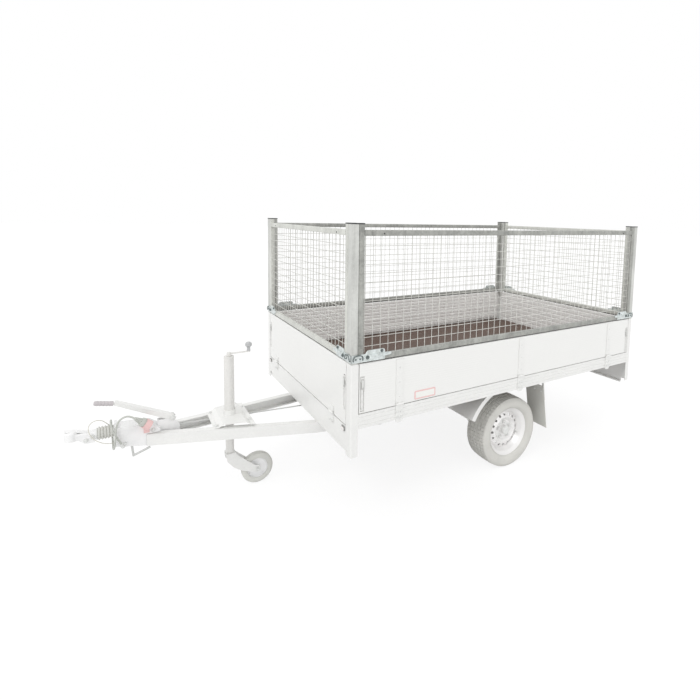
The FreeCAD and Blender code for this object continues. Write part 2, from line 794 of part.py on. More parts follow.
def overrun_housing():
    """Cast housing on the legs' front ends, with cheeks, a front flange and the lever's bracket behind."""
    w = housing_half_width
    front = housing_front_x
    cheek_top = leg_top_at(leg_front_x) + seat
    cheek_rear = cheek_rear_x
    profile = [(leg_front_x + seat, cheek_top - leg_height), (front, flange_bottom - 7), (front, housing_top),
               (leg_front_x - 20, housing_top - 14), (cheek_rear, cheek_top + 18), (cheek_rear, cheek_top),
               (leg_front_x + seat, cheek_top)]
    body = prism([Vector(x, -w, z) for x, z in profile], Vector(0, 2 * w, 0))
    flange = box(front - flange_thickness, front, -w - flange_overhang, w + flange_overhang,
                 flange_bottom, housing_top + flange_thickness)
    corners = [e for e in flange.Edges if abs(e.Length - flange_thickness) < 0.01]
    flange = flange.makeFillet(18, corners)
    half = lever_bracket_width / 2
    low = rod_lug_bottom
    boss_radius = lever_pin_radius + 3
    shelf = lever_pivot_z - 2
    step = shelf - 50
    bracket_front = cheek_rear + 10
    profile = [(housing_rear_x, low), (bracket_front, low), (bracket_front, shelf),
               (lever_pivot_x - boss_radius, shelf), (lever_pivot_x - boss_radius, shelf - 20),
               (housing_rear_x, step)]
    bracket = prism([Vector(x, -half, z) for x, z in profile], Vector(0, lever_bracket_width, 0))
    boss = rod(Vector(lever_pivot_x, -half, lever_pivot_z), Vector(lever_pivot_x, half, lever_pivot_z),
               boss_radius)
    lug = box(housing_rear_x, housing_rear_x + 15, brake_rod_y - 5, half, low, low + 22)
    pin_end = lever_width / 2 + 3
    pin = rod(Vector(lever_pivot_x, -pin_end, lever_pivot_z), Vector(lever_pivot_x, pin_end, lever_pivot_z),
              lever_pin_radius)
    bore = rod(Vector(front - 120, 0, draw_z), Vector(front + 1, 0, draw_z), draw_radius + seat)
    return fuse([body, flange, bracket, boss, lug, pin]).cut(bore)


def bellows():
    """Rubber bellows round the draw tube."""
    start = housing_front_x + seat
    step = bellows_length / bellows_ribs
    inner = draw_radius + 2
    valley = bellows_radius - 9
    points = [Vector(start, 0, draw_z + inner), Vector(start, 0, draw_z + valley)]
    for i in range(bellows_ribs):
        x = start + i * step
        points += [Vector(x + step / 2, 0, draw_z + bellows_radius), Vector(x + step, 0, draw_z + valley)]
    points.append(Vector(start + bellows_length, 0, draw_z + inner))
    face = Part.Face(Part.makePolygon(points + [points[0]]))
    return face.revolve(Vector(0, 0, draw_z), Vector(1, 0, 0), 360)


def coupling_head():
    """Draw tube and coupling head, with the ball socket open below and the release handle on top."""
    shell = ball_radius + ball_wall
    ball_x = nose_x - shell
    rear = housing_front_x + bellows_length + 2 * seat
    rim_z = draw_z - head_depth + head_rise
    crown_z = draw_z + 12 + head_rise
    half = shell - 7
    tube = rod(Vector(housing_front_x - 100, 0, draw_z), Vector(rear + 20, 0, draw_z), draw_radius)
    clamp = rod(Vector(rear, 0, draw_z), Vector(rear + 34, 0, draw_z), 28)
    ridge = draw_z + head_top
    profile = [(rear + 8, draw_z - 36), (rear + 50, draw_z - 36), (ball_x - shell, rim_z), (ball_x, rim_z),
               (ball_x, crown_z), (ball_x - 20, crown_z), (rear + 20, ridge), (rear + 8, ridge - 12)]
    neck = prism([Vector(x, -half, z) for x, z in profile], Vector(0, 2 * half, 0))
    long_edges = [e for e in neck.Edges if e.Length > 40 and abs(e.Vertexes[0].Y - e.Vertexes[-1].Y) < 1]
    neck = neck.makeFillet(8, [e for e in long_edges if min(v.Z for v in e.Vertexes) > draw_z + 10])
    bowl = rod(Vector(ball_x, 0, rim_z), Vector(ball_x, 0, crown_z), shell)
    dome = Part.makeSphere(shell, Vector(ball_x, 0, crown_z), Vector(0, 0, 1), 0, 90, 360)
    dome = dome.common(box(ball_x - 60, ball_x + 60, -60, 60, crown_z, crown_z + 14))
    grip = [(rear + 30, 24), (ball_x - 10, 43), (nose_x - 2, 48), (nose_x - 2, 42), (ball_x - 8, 36),
            (rear + 30, 14)]
    handle = prism([Vector(x, -handle_half_width, draw_z + z) for x, z in grip],
                   Vector(0, 2 * handle_half_width, 0))
    socket = rod(Vector(ball_x, 0, rim_z - 1), Vector(ball_x, 0, rim_z + socket_depth), ball_radius)
    return fuse([tube, clamp, neck, bowl, dome, handle]).cut(socket)


def along_lever(distance, lift=0.0):
    a = math.radians(lever_angle)
    return Vector(lever_pivot_x + distance * math.cos(a) - lift * math.sin(a), 0,
                  lever_pivot_z + distance * math.sin(a) + lift * math.cos(a))


def brake_lever():
    """Pressed channel lever, its mouth downward, that straddles its bracket."""
    h = lever_height / 2
    w = lever_width / 2
    wall = 3.0
    outline = [along_lever(-lever_heel, -h * 0.7), along_lever(-lever_heel, h * 0.7), along_lever(30, h),
               along_lever(lever_length, h * 0.7), along_lever(lever_length, -h * 0.5), along_lever(30, -h)]
    solid = prism([p - Vector(0, w, 0) for p in outline], Vector(0, 2 * w, 0))
    hollow = [along_lever(-2 * lever_heel, -h - 9), along_lever(-2 * lever_heel, h - wall),
              along_lever(30, h - wall),
              along_lever(lever_length - wall, h * 0.7 - wall), along_lever(lever_length - wall, -h - 9)]
    solid = solid.cut(prism([p - Vector(0, w - wall, 0) for p in hollow], Vector(0, 2 * (w - wall), 0)))
    pivot = Vector(lever_pivot_x, -w - 1, lever_pivot_z)
    solid = solid.cut(rod(pivot, pivot + Vector(0, 2 * w + 2, 0), lever_pin_radius + pin_play))
    end = along_lever(lever_length - 12)
    tang = rod(end, end + tang_run(), tang_radius)
    return fuse([solid, tang])


def tang_run():
    """The lever's last stretch, inside the grip, bends towards the level."""
    return Vector(grip_length * 0.8, 0, grip_rise)


def lever_grip():
    """Moulded grip on the lever's tang, a little fuller in its middle."""
    end = along_lever(lever_length - 12)
    along = Vector(tang_run()).normalize()
    start = end + along * tang_bare
    across = Vector(-along.z, 0, along.x)
    hollow = tang_radius + seat
    depth = tang_run().Length - tang_bare + seat
    profile = [(0, hollow), (0, grip_radius - 2), (grip_length / 2, grip_radius),
               (grip_length - 6, grip_radius - 1), (grip_length, grip_radius - 6), (grip_length, 0),
               (depth, 0), (depth, hollow)]
    points = [start + along * x + across * r for x, r in profile]
    face = Part.Face(Part.makePolygon(points + [points[0]]))
    return face.revolve(start, along, 360)


def draw_rods():
    """Brake rod from the housing to the axle, and the guide hook under the housing."""
    front = Vector(housing_rear_x - seat, brake_rod_y, rod_lug_bottom + 11)
    rear = Vector(axle_x + axle_tube / 2 + seat, 2.4 * brake_rod_y, axle_z + axle_tube / 3)
    brake = rod(front, rear, brake_rod_radius)
    y = housing_half_width - 8
    bend = Vector(housing_front_x - hook_bend_setback, y, flange_bottom - hook_drop)
    top = Vector(housing_front_x - hook_bend_setback + 6, y, flange_bottom - 25.5)
    end = bend + Vector(-hook_length, 0, hook_rise)
    hook = fuse([rod(top, bend, hook_radius), rod(bend, end, hook_radius), ball_at(bend, hook_radius)])
    return [brake, hook]


def ball_at(centre, radius):
    return Part.makeSphere(radius, centre)


# Jockey wheel

def clamp_bridge():
    """Folded bridge across the legs, with the hole for the jockey tube and its clamp."""
    low = leg_top_at(jockey_x + bridge_foot) + seat
    plate = bridge_plate
    half_outline = [(bridge_foot, low), (bridge_foot, low + plate), (bridge_knee, low + plate),
                    (bridge_crest, bridge_top)]
    under = [(bridge_crest - 2, bridge_top - plate), (bridge_knee - 2, low)]
    outline = half_outline + [(-x, z) for x, z in reversed(half_outline)]
    outline += [(-x, z) for x, z in reversed(under)] + under
    widest = leg_outer_at(jockey_x - bridge_foot)
    sheet = prism([Vector(jockey_x + x, -widest, z) for x, z in outline], Vector(0, 2 * widest, 0))
    rear_x = jockey_x - bridge_foot - 1
    front_x = jockey_x + bridge_foot + 1
    rear_y = leg_outer_at(rear_x) - bridge_margin
    front_y = leg_outer_at(front_x) - bridge_margin
    plan = [(rear_x, -rear_y), (front_x, -front_y), (front_x, front_y), (rear_x, rear_y)]
    sheet = sheet.common(prism([Vector(x, y, low - 10) for x, y in plan], Vector(0, 0, 100)))
    top = bridge_top + collar_height
    collar = rod(Vector(jockey_x, 0, bridge_top - plate), Vector(jockey_x, 0, top), jockey_tube_radius + 7)
    hole = rod(Vector(jockey_x, 0, bridge_top - 20), Vector(jockey_x, 0, top + 10), jockey_tube_radius + seat)
    lug = box(jockey_x - 70, jockey_x - 30, 12, 24, bridge_top - 1, top + 12)
    return fuse([sheet, collar, lug]).cut(hole)


def jockey_rod(bottom, top, radius):
    return rod(Vector(jockey_x, 0, bottom), Vector(jockey_x, 0, top), radius)


def jockey_outer_tube():
    tube = jockey_rod(jockey_tube_bottom, jockey_tube_top, jockey_tube_radius)
    bore = jockey_rod(jockey_tube_bottom - 1, jockey_tube_top - 12, jockey_inner_radius + pin_play)
    spindle = jockey_rod(jockey_tube_top, jockey_tube_top + 20, jockey_pivot_radius)
    return fuse([tube, spindle]).cut(bore)


def jockey_inner_tube():
    top = jockey_tube_bottom + jockey_inner_length
    tube = jockey_rod(jockey_head_z + seat, top, jockey_inner_radius)
    bore = jockey_rod(jockey_head_z + 60, top + 1, jockey_inner_radius - 4)
    pivot = jockey_rod(jockey_head_z - 14, jockey_head_z + 2, jockey_pivot_radius)
    return fuse([tube, pivot]).cut(bore)


def jockey_fork():
    """Caster fork: a folded head under the tube and two broad cheeks that trail back to the wheel's axle."""
    axle_x0 = jockey_x - jockey_trail
    axle_height = jockey_wheel_radius
    cheek_inner = jockey_wheel_width / 2 + swing
    reach = cheek_inner + fork_plate
    top = jockey_head_z
    at_head = [(22, -48), (28, -16), (28, 0), (-28, 0), (-40, -20)]
    at_axle = [(22, 32), (-12, 16), (-18, -8), (6, -22), (100, 14), (150, 48)]
    outline = [(jockey_x + x, top + z) for x, z in at_head]
    outline += [(axle_x0 + x, axle_height + z) for x, z in at_axle]
    shapes = [jockey_rod(top - jockey_head_plate, top, 30)]
    for y0 in (cheek_inner, -reach):
        shapes.append(prism([Vector(x, y0, z) for x, z in outline], Vector(0, fork_plate, 0)))
    shapes.append(box(jockey_x - 28, jockey_x + 28, -reach, reach, top - jockey_head_plate, top))
    shapes.append(rod(Vector(axle_x0, -reach - 4, axle_height), Vector(axle_x0, reach + 4, axle_height),
                      jockey_axle_radius))
    hole = jockey_rod(top - 30, top + 1, jockey_pivot_radius + pin_play)
    return fuse(shapes).cut(hole)


def revolve_about_jockey_axle(profile):
    """Each point of the profile is a radius and a distance to the left of the wheel's middle."""
    x = jockey_x - jockey_trail
    points = [Vector(x, y, jockey_wheel_radius + r) for r, y in profile]
    face = Part.Face(Part.makePolygon(points + [points[0]]))
    return face.revolve(Vector(x, 0, jockey_wheel_radius), Vector(0, 1, 0), 360)


def jockey_tyre():
    w = jockey_wheel_width / 2
    r = jockey_wheel_radius
    bead = jockey_rim_radius + seat
    waist = jockey_tyre_waist
    return revolve_about_jockey_axle([(bead, -w + 6), (waist, -w), (r, -w + 10), (r, w - 10), (waist, w),
                                      (bead, w - 6)])


def jockey_rim():
    w = jockey_wheel_width / 2
    r = jockey_rim_radius
    bore = jockey_axle_radius + pin_play
    hub = jockey_hub_radius
    return revolve_about_jockey_axle([(bore, -w), (hub - 2, -w), (hub, -8), (r - 8, -8), (r, -w + 6),
                                      (r, w - 6), (r - 8, 8), (hub, 8), (hub - 2, w), (bore, w)])


def crank():
    top = jockey_tube_top
    hub = jockey_rod(top + 1, top + 24, jockey_pivot_radius + 5)
    bore = jockey_rod(top, top + 20 + 1, jockey_pivot_radius + pin_play)
    arm = box(jockey_x - crank_reach - 9, jockey_x - 8, -9, 9, top + 12, top + 18)
    post = rod(Vector(jockey_x - crank_reach, 0, top + 12), Vector(jockey_x - crank_reach, 0, top + 44), 5)
    return fuse([hub, arm, post]).cut(bore)


def crank_knob():
    x = jockey_x - crank_reach
    z = jockey_tube_top + 18 + seat
    bore = 5 + seat
    profile = [(bore, 0), (11, 0), (10, 22), (20, 34), (20, 48), (12, 56), (0, 56), (0, 28), (bore, 28)]
    points = [Vector(x + radius, 0, z + height) for radius, height in profile]
    face = Part.Face(Part.makePolygon(points + [points[0]]))
    return face.revolve(Vector(x, 0, 0), Vector(0, 0, 1), 360)


# Lamps and plate

def lamps():
    """Rear lamps on the rear beam's face, and small marker lamps at the front beam's ends."""
    face = -half_length - seat
    outer = half_width - post_width - lamp_inset
    top = beam_top - lamp_drop
    rear_lamp = box(face - lamp_depth, face, outer - lamp_length, outer, top - lamp_height, top)
    front = half_length + seat
    marker_y = half_width - post_width - 8
    marker = box(front, front + marker_depth, marker_y - marker_length, marker_y,
                 beam_top - 8 - marker_height, beam_top - 8)
    return both_sides(rear_lamp) + both_sides(marker)


def number_plate():
    face = -half_length - seat
    top = beam_top - plate_drop
    return box(face - 3, face, -plate_length / 2, plate_length / 2, top - plate_height, top)


# Cables at the coupling

def tube_along(name, route, radius):
    """Round cable: straight runs joined by arcs as large as their runs allow."""
    points = [Vector(*p) for p in route]
    edges = []
    radii = []
    start = points[0]
    for before, corner, after in zip(points, points[1:], points[2:]):
        back = before - corner
        ahead = after - corner
        turn = math.pi - back.getAngle(ahead)
        shorter = min(back.Length, ahead.Length)
        tangent = 0.45 * shorter
        arc_radius = tangent / math.tan(turn / 2)
        radii.append(arc_radius)
        enter = corner + back.normalize() * tangent
        leave = corner + ahead.normalize() * tangent
        inward = (back + ahead).normalize()
        middle = corner + inward * (arc_radius / math.cos(turn / 2) - arc_radius)
        edges.append(Part.LineSegment(start, enter).toShape())
        edges.append(Part.Arc(enter, middle, leave).toShape())
        start = leave
    edges.append(Part.LineSegment(start, points[-1]).toShape())
    path = Part.Wire(edges)
    section = Part.Wire([Part.makeCircle(radius, points[0], points[1] - points[0])])
    tube = path.makePipeShell([section], True, False)
    expected = math.pi * radius ** 2 * path.Length
    print(name, "length", round(path.Length, 1), "least radius", round(min(radii), 1),
          "volume over section times length", round(tube.Volume / expected, 4))
    print(name, "radii", [round(r) for r in radii])
    return tube


def cone_between(start, end, start_radius, end_radius):
    run = end - start
    return Part.makeCone(start_radius, end_radius, run.Length, start, run)


def unit(vector):
    return Vector(vector).normalize()


def cable_gland():
    """Tapered gland on the housing's side, where the cable comes out."""
    mouth = Vector(*cable_route[0])
    out = unit(Vector(*cable_route[1]) - mouth)
    foot = mouth - out * gland_length
    sleeve = cone_between(foot, mouth, 10, cable_radius + 1.5)
    base = box(foot.x - 14, foot.x + 14, housing_half_width + seat, foot.y, foot.z + 2, foot.z + 24)
    return fuse([sleeve, base])


def plug_axis():
    """Start of the plug's boot, and the way that the plug points."""
    end = Vector(*cable_route[-1])
    return end, unit(end - Vector(*cable_route[-2]))


def plug():
    """Cable plug: a tapered boot and a ribbed body, parked in its holder."""
    start, along = plug_axis()
    neck = start + along * boot_length
    boot = cone_between(start, neck, cable_radius + 2, plug_radius - 5)
    body = rod(neck, neck + along * plug_length, plug_radius)
    collar = rod(neck + along * 8, neck + along * 16, plug_radius + 2)
    return fuse([boot, body, collar])


def plug_holder():
    """Cup that the plug is parked in, with a foot on the housing's side."""
    start, along = plug_axis()
    mouth = start + along * (boot_length + 22)
    bottom = mouth + along * holder_length
    cup = rod(mouth, bottom, holder_radius)
    foot = box(mouth.x - 24, mouth.x + 4, housing_half_width + seat, housing_half_width + 12,
               housing_top - 55, bottom.z + 10)
    hollow = rod(mouth - along, start + along * (boot_length + plug_length + seat), plug_radius + seat)
    return fuse([cup, foot]).cut(hollow)


save("side_rail_left", [side_rail()])
save("side_rail_right", [mirror_y(side_rail())])
save("front_beam", [end_beam(beam_drop, beam_lip)])
save("rear_beam", [turned(end_beam(rear_beam_drop, beam_lip / 4), 180)])
save("corner_posts", four_corners(corner_post()))
save("floor_panel", [floor_panel()])
save("cross_members", cross_members())
save("runners", runners())

leaves = []
for name, angle, outer, reach, bottom, hinges, short in board_sides:
    save("board_" + name, [turned(board(outer, reach, bottom), angle)])
    save("fittings_" + name, [turned(s, angle) for s in board_fittings(outer, reach, bottom, hinges, short)])
    leaf_bottom = beam_top - end_leaf_drop if short else rail_bottom - leaf_tail
    leaves += [turned(hinge_leaf(x, outer, bottom, leaf_bottom), angle) for x in hinges]
save("hinge_leaves", leaves)

save("cage_posts", four_corners(cage_post()))
caps = four_corners(post_cap())
for stile_cap in stile_caps():
    caps += four_corners(stile_cap)
save("post_caps", caps)
save("corner_fittings", four_corners(corner_fitting()))
side_mesh = mesh_panel(half_width, half_length - cage_post_depth - seat)
end_mesh = mesh_panel(half_length, half_width - cage_post_width - seat)
for name, angle, panel in (("left", 0, side_mesh), ("front", -90, end_mesh), ("right", 180, side_mesh),
                           ("rear", 90, end_mesh)):
    save("mesh_" + name, [turned(panel, angle)])

save("axle_beam", [axle_beam()])
save("axle_brackets", both_sides(axle_bracket()) + both_sides(flap_hanger()))
save("trailing_arms", both_sides(trailing_arm()))
save("mudguards", both_sides(guard()))
save("mudflaps", both_sides(mudflap()))
save("tyre_left", [tyre()])
save("tyre_right", [mirror_y(tyre())])
save("rim_left", [rim()])
save("rim_right", [mirror_y(rim())])

save("drawbar_leg_left", [drawbar_leg()])
save("drawbar_leg_right", [mirror_y(drawbar_leg())])
save("overrun_housing", [overrun_housing()])
save("bellows", [bellows()])
save("coupling_head", [coupling_head()])
save("brake_lever", [brake_lever()])
save("lever_grip", [lever_grip()])
save("draw_rods", draw_rods())

save("clamp_bridge", [clamp_bridge()])
save("jockey_outer_tube", [jockey_outer_tube()])
save("jockey_inner_tube", [jockey_inner_tube()])
save("jockey_fork", [jockey_fork()])
save("jockey_tyre", [jockey_tyre()])
save("jockey_rim", [jockey_rim()])
save("crank", [crank()])
save("crank_knob", [crank_knob()])

save("lamps", lamps())
save("number_plate", [number_plate()])

save("cable_gland", [cable_gland()])
save("electric_cable", [tube_along("electric_cable", cable_route, cable_radius)])
save("plug", [plug()])
save("plug_holder", [plug_holder()])
save("breakaway_cable", [tube_along("breakaway_cable", rope_route, rope_radius)])
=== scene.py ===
import math

import bpy
import numpy as np
from mathutils import Matrix, Vector
from mathutils.bvhtree import BVHTree


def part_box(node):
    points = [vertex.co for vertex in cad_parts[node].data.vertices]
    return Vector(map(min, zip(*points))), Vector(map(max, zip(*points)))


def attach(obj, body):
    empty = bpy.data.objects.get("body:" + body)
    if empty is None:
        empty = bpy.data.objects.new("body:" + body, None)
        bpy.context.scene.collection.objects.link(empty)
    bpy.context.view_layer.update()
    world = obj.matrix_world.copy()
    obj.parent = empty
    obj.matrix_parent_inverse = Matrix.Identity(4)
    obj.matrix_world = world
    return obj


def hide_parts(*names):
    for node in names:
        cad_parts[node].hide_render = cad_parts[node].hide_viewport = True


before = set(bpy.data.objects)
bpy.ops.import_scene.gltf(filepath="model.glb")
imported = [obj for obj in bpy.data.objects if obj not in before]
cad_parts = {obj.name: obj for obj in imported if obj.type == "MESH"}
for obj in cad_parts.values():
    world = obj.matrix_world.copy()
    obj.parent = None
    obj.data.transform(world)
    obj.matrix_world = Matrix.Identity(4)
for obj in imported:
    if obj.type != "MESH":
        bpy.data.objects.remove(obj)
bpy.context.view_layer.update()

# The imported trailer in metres: X points forward to the coupling, Y to the left, Z up from the ground.
# Dressed pieces are added to it, each a surface worked out as whole arrays, and every node gets a finish.

BED_MIDDLE = -0.6445

bl_info = {
    "name": "Mesh-sided trailer",
    "version": (1, 0, 0),
    "blender": (4, 5, 0),
    "location": "View3D > Sidebar > Trailer",
    "description": "Dresses the packed frame of a drop-side trailer with a mesh cage",
    "category": "Object",
}


def tone(red, green, blue):
    """A screen colour of 0 to 255 as Blender's linear colour: c / 12.92 near black, else a power of 2.4."""
    screen = np.array([red, green, blue]) / 255
    linear = np.where(screen <= 0.04045, screen / 12.92, ((screen + 0.055) / 1.055) ** 2.4)
    return tuple(float(value) for value in linear)


def colour_property(label, description, default):
    return bpy.props.FloatVectorProperty(name=label, description=description, default=default, size=3,
                                         min=0.0, max=1.0, subtype="COLOR")


def length_property(label, description, default):
    return bpy.props.FloatProperty(name=label, description=description, default=default, min=0.0,
                                   subtype="DISTANCE", unit="LENGTH")


class TrailerSizes(bpy.types.PropertyGroup):
    wire: length_property("Wire", "Diameter of the cage's welded wires", 0.0036)
    pitch: length_property("Mesh pitch", "Distance from wire to wire", 0.050)
    tread_depth: length_property("Tread depth", "Depth of the tyres' grooves", 0.006)
    cable: length_property("Cable", "Diameter of the electric cable", 0.010)
    rope: length_property("Breakaway rope", "Diameter of the thin steel rope", 0.004)
    tread_pitches: bpy.props.IntProperty(name="Tread pitches", description="Blocks round a tyre", default=62,
                                         min=12)


class TrailerColours(bpy.types.PropertyGroup):
    outside: colour_property("Boards outside", "Pale face of the drop boards", tone(236, 236, 234))
    # The inner faces' colour is set lighter than the outer faces' to lift the shade in the load space:
    # painted light.
    inside: colour_property("Boards inside", "Bare ribbed metal of the load space", tone(240, 239, 237))
    steel: colour_property("Galvanised posts", "Zinc coating of the cage's posts", tone(200, 201, 197))
    tube: colour_property("Galvanised tube", "Zinc coating of the mesh panels' frames", tone(172, 173, 168))
    mesh: colour_property("Wires", "Zinc coating of the welded wires", tone(214, 214, 209))
    pale_steel: colour_property("Pale galvanised", "Zinc coating of the chassis", tone(233, 233, 231))
    fitting: colour_property("Bright zinc", "Bluish plating of the cage's fittings", tone(218, 225, 227))
    plywood: colour_property("Floor", "Film-faced plywood", tone(92, 73, 63))
    tyre: colour_property("Tyres", "Weathered rubber", tone(208, 207, 202))
    rubber: colour_property("Rubber", "Bellows, flaps and jockey tyre", tone(212, 212, 207))
    grip: colour_property("Grips", "Moulded plastic of the brake lever's grip", tone(192, 187, 189))
    rim: colour_property("Rims", "Silver paint of the wheels", tone(240, 239, 238))
    cast: colour_property("Castings", "Coupling and lever", tone(240, 240, 240))
    red: colour_property("Red", "Plug holder, lamps and plain plate", tone(231, 194, 192))
    amber: colour_property("Amber", "Indicator part of the lamps", tone(240, 206, 160))
    sheath: colour_property("Cable sheath", "Electric cable and plug", tone(190, 192, 186))


def sizes():
    """The panel's sizes."""
    return bpy.context.scene.trailer_sizes


def chosen(label):
    """One of the panel's colours, as three numbers."""
    return tuple(getattr(bpy.context.scene.trailer_colours, label))


# Surfaces

UP = np.array([0.0, 0.0, 1.0])


def round_angles(count):
    """So many angles, evenly round a circle."""
    return np.linspace(0, 2 * np.pi, count, endpoint=False)


def spokes(angles, across, up):
    """Unit vectors across cos a + up sin a at each angle, for one frame or for each of a row of frames."""
    across, up = np.expand_dims(across, -2), np.expand_dims(up, -2)
    return np.cos(angles)[:, None] * across + np.sin(angles)[:, None] * up


def corners_of(node):
    """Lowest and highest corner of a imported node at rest, as two rows."""
    return np.array([corner[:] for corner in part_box(node)])


def arrays(*rows):
    """Each row of numbers as an array."""
    return [np.asarray(row, float) for row in rows]


def merged(shapes):
    """Several shapes as one: their points in a row, each face's corners counted on by the points before."""
    points, faces, count = [], [], 0
    for shape_points, shape_faces in shapes:
        points.append(shape_points)
        faces += [corners + count for corners in shape_faces]
        count += len(shape_points)
    return np.concatenate(points), faces


def facing_out(shape):
    """The shape, its faces turned over where the volume in them, a sum of a x b . c, is negative."""
    points, faces = shape
    volume = 0.0
    for corners in faces:
        first = points[corners[:, 0]]
        for k in range(1, corners.shape[1] - 1):
            volume += np.sum(np.cross(first, points[corners[:, k]]) * points[corners[:, k + 1]])
    return (points, [corners[:, ::-1] for corners in faces]) if volume < 0 else shape


def grid_quads(rows, columns, ring=False):
    """Faces from each loop of a grid to the next, and in a ring from the last to the first."""
    i, j = np.meshgrid(np.arange(rows if ring else rows - 1), np.arange(columns), indexing="ij")
    i, j = i.ravel(), j.ravel()
    i2, j2 = (i + 1) % rows, (j + 1) % columns
    return np.stack([i * columns + j, i2 * columns + j, i2 * columns + j2, i * columns + j2], axis=1)


def swept(loops, ring=False):
    """Skin through rows of closed loops, each joined to the next; filled ends, unless they make a ring."""
    rows, columns = loops.shape[:2]
    faces = [grid_quads(rows, columns, ring)]
    if not ring:
        faces.append(np.arange(columns)[None, :])
        faces.append((rows - 1) * columns + np.arange(columns)[None, ::-1])
    return facing_out((loops.reshape(-1, 3), faces))


def frame_along(direction):
    """Two unit vectors square to a direction, and that direction: across x up = along."""
    along = np.asarray(direction, float)
    along = along / np.linalg.norm(along)
    helper = UP if abs(along[2]) < 0.9 else np.array([1.0, 0.0, 0.0])
    across = np.cross(helper, along)
    across /= np.linalg.norm(across)
    return across, np.cross(along, across), along


def rods(starts, ends, radius, sides=8):
    """Round bars, all one way: each end plus radius times (across cos a + up sin a), with flat ends."""
    ring = radius * spokes(round_angles(sides), *frame_along(ends[0] - starts[0])[:2])
    return merged([swept(np.stack([start + ring, end + ring])) for start, end in zip(starts, ends)])


def turned(profile, centre, axis, segments):
    """Outline of (radius, distance along the axis) turned about it. One that starts and ends at radius 0 has
    its poles closed by fans, and any other is a closed ring."""
    across, up, along = frame_along(axis)
    profile, centre = arrays(profile, centre)
    ring = spokes(round_angles(segments), across, up)
    loops = centre + profile[:, 0][:, None, None] * ring + profile[:, 1][:, None, None] * along
    if profile[0, 0] > 1e-9:
        return swept(loops, ring=True)
    inner = loops[1:-1]
    rows = len(inner)
    points = np.concatenate([inner.reshape(-1, 3), loops[0, :1], loops[-1, :1]])
    k = np.arange(segments)
    k2 = (k + 1) % segments
    pole = rows * segments
    end = (rows - 1) * segments
    first = np.stack([np.full(segments, pole), k, k2], axis=1)
    last = np.stack([np.full(segments, pole + 1), end + k2, end + k], axis=1)
    return facing_out((points, [grid_quads(rows, segments), first, last]))


def rounded_rectangle(width, height, radius, steps=4):
    """Outline of a rectangle about 0, its corners quarter circles of the radius."""
    quarter = np.linspace(0, np.pi / 2, steps + 1)
    corners = []
    for k, (sx, sy) in enumerate(((1, 1), (-1, 1), (-1, -1), (1, -1))):
        angles = quarter + k * np.pi / 2
        centre = np.array([sx * (width / 2 - radius), sy * (height / 2 - radius)])
        corners.append(centre + radius * np.stack([np.cos(angles), np.sin(angles)], axis=1))
    return np.concatenate(corners)


def slab(outline, origin, across, normal, thickness, bevel):
    """Upright plate: an outline in the plane of across and up, raised by a thickness, its rims bevelled."""
    outline, origin, across, normal = arrays(outline, origin, across, normal)
    centre = (outline.max(axis=0) + outline.min(axis=0)) / 2
    shrink = 1 - 2 * bevel / (outline.max(axis=0) - outline.min(axis=0))
    drawn_in = centre + (outline - centre) * shrink
    loops = []
    for flat, rise in ((drawn_in, 0), (outline, bevel), (outline, thickness - bevel), (drawn_in, thickness)):
        loops.append(origin + flat[:, :1] * across + flat[:, 1:] * UP + rise * normal)
    return swept(np.array(loops))


def bar(start, end, across, width, depth, radius, steps=3):
    """Straight tube of a rounded section, its width along across and its depth square to that."""
    start, end, across = arrays(start, end, across)
    along = (end - start) / np.linalg.norm(end - start)
    section = rounded_rectangle(width, depth, radius, steps)
    ring = section[:, :1] * across + section[:, 1:] * np.cross(along, across)
    return swept(np.stack([start + ring, end + ring]))


def carried_frames(points):
    """Across and up vectors at each point of a line, turned from one to the next only as the line turns."""
    along = np.gradient(points, axis=0)
    along /= np.linalg.norm(along, axis=1, keepdims=True)
    across = np.zeros_like(points)
    across[0] = frame_along(along[0])[0]
    for k in range(1, len(points)):
        lean = across[k - 1] - np.dot(across[k - 1], along[k]) * along[k]
        across[k] = lean / np.linalg.norm(lean)
    return across, np.cross(along, across)


def bent_rod(points, radius, sides):
    """Round bar along a bent line: each point plus radius times (across cos a + up sin a)."""
    points = np.asarray(points, float)
    return swept(points[:, None, :] + radius * spokes(round_angles(sides), *carried_frames(points)))


def run_along(points):
    """Distance from a line's first point to each of its points, along the line."""
    return np.concatenate([[0], np.cumsum(np.linalg.norm(np.diff(points, axis=0), axis=1))])


def weld(points, radius):
    """Weld bead: a half-sunk rod whose radius swells by a tenth, once for each ripple of its run."""
    points = np.asarray(points, float)
    ripple = 0.004
    run = run_along(points)
    fine = np.linspace(0, run[-1], max(3, int(run[-1] / (ripple / 2))))
    line = np.stack([np.interp(fine, run, points[:, k]) for k in range(3)], axis=1)
    reach = radius * (1 + 0.1 * np.cos(2 * np.pi * fine / ripple))
    return swept(line[:, None, :] + reach[:, None, None] * spokes(round_angles(6), *carried_frames(line)))


def smooth_line(points, steps):
    """Line through the points: from each to the next a cubic in t, its slopes half the neighbours' span."""
    points = np.asarray(points, float)
    padded = np.concatenate([2 * points[:1] - points[1:2], points, 2 * points[-1:] - points[-2:-1]])
    t = np.linspace(0, 1, steps, endpoint=False)[None, :, None]
    a, b, c, d = (padded[k:len(padded) - 3 + k, None, :] for k in range(4))
    bend = (2 * a - 5 * b + 4 * c - d) * t ** 2 + (3 * b - a - 3 * c + d) * t ** 3
    line = 0.5 * (2 * b + (c - a) * t + bend)
    return np.concatenate([line.reshape(-1, points.shape[1]), points[-1:]])


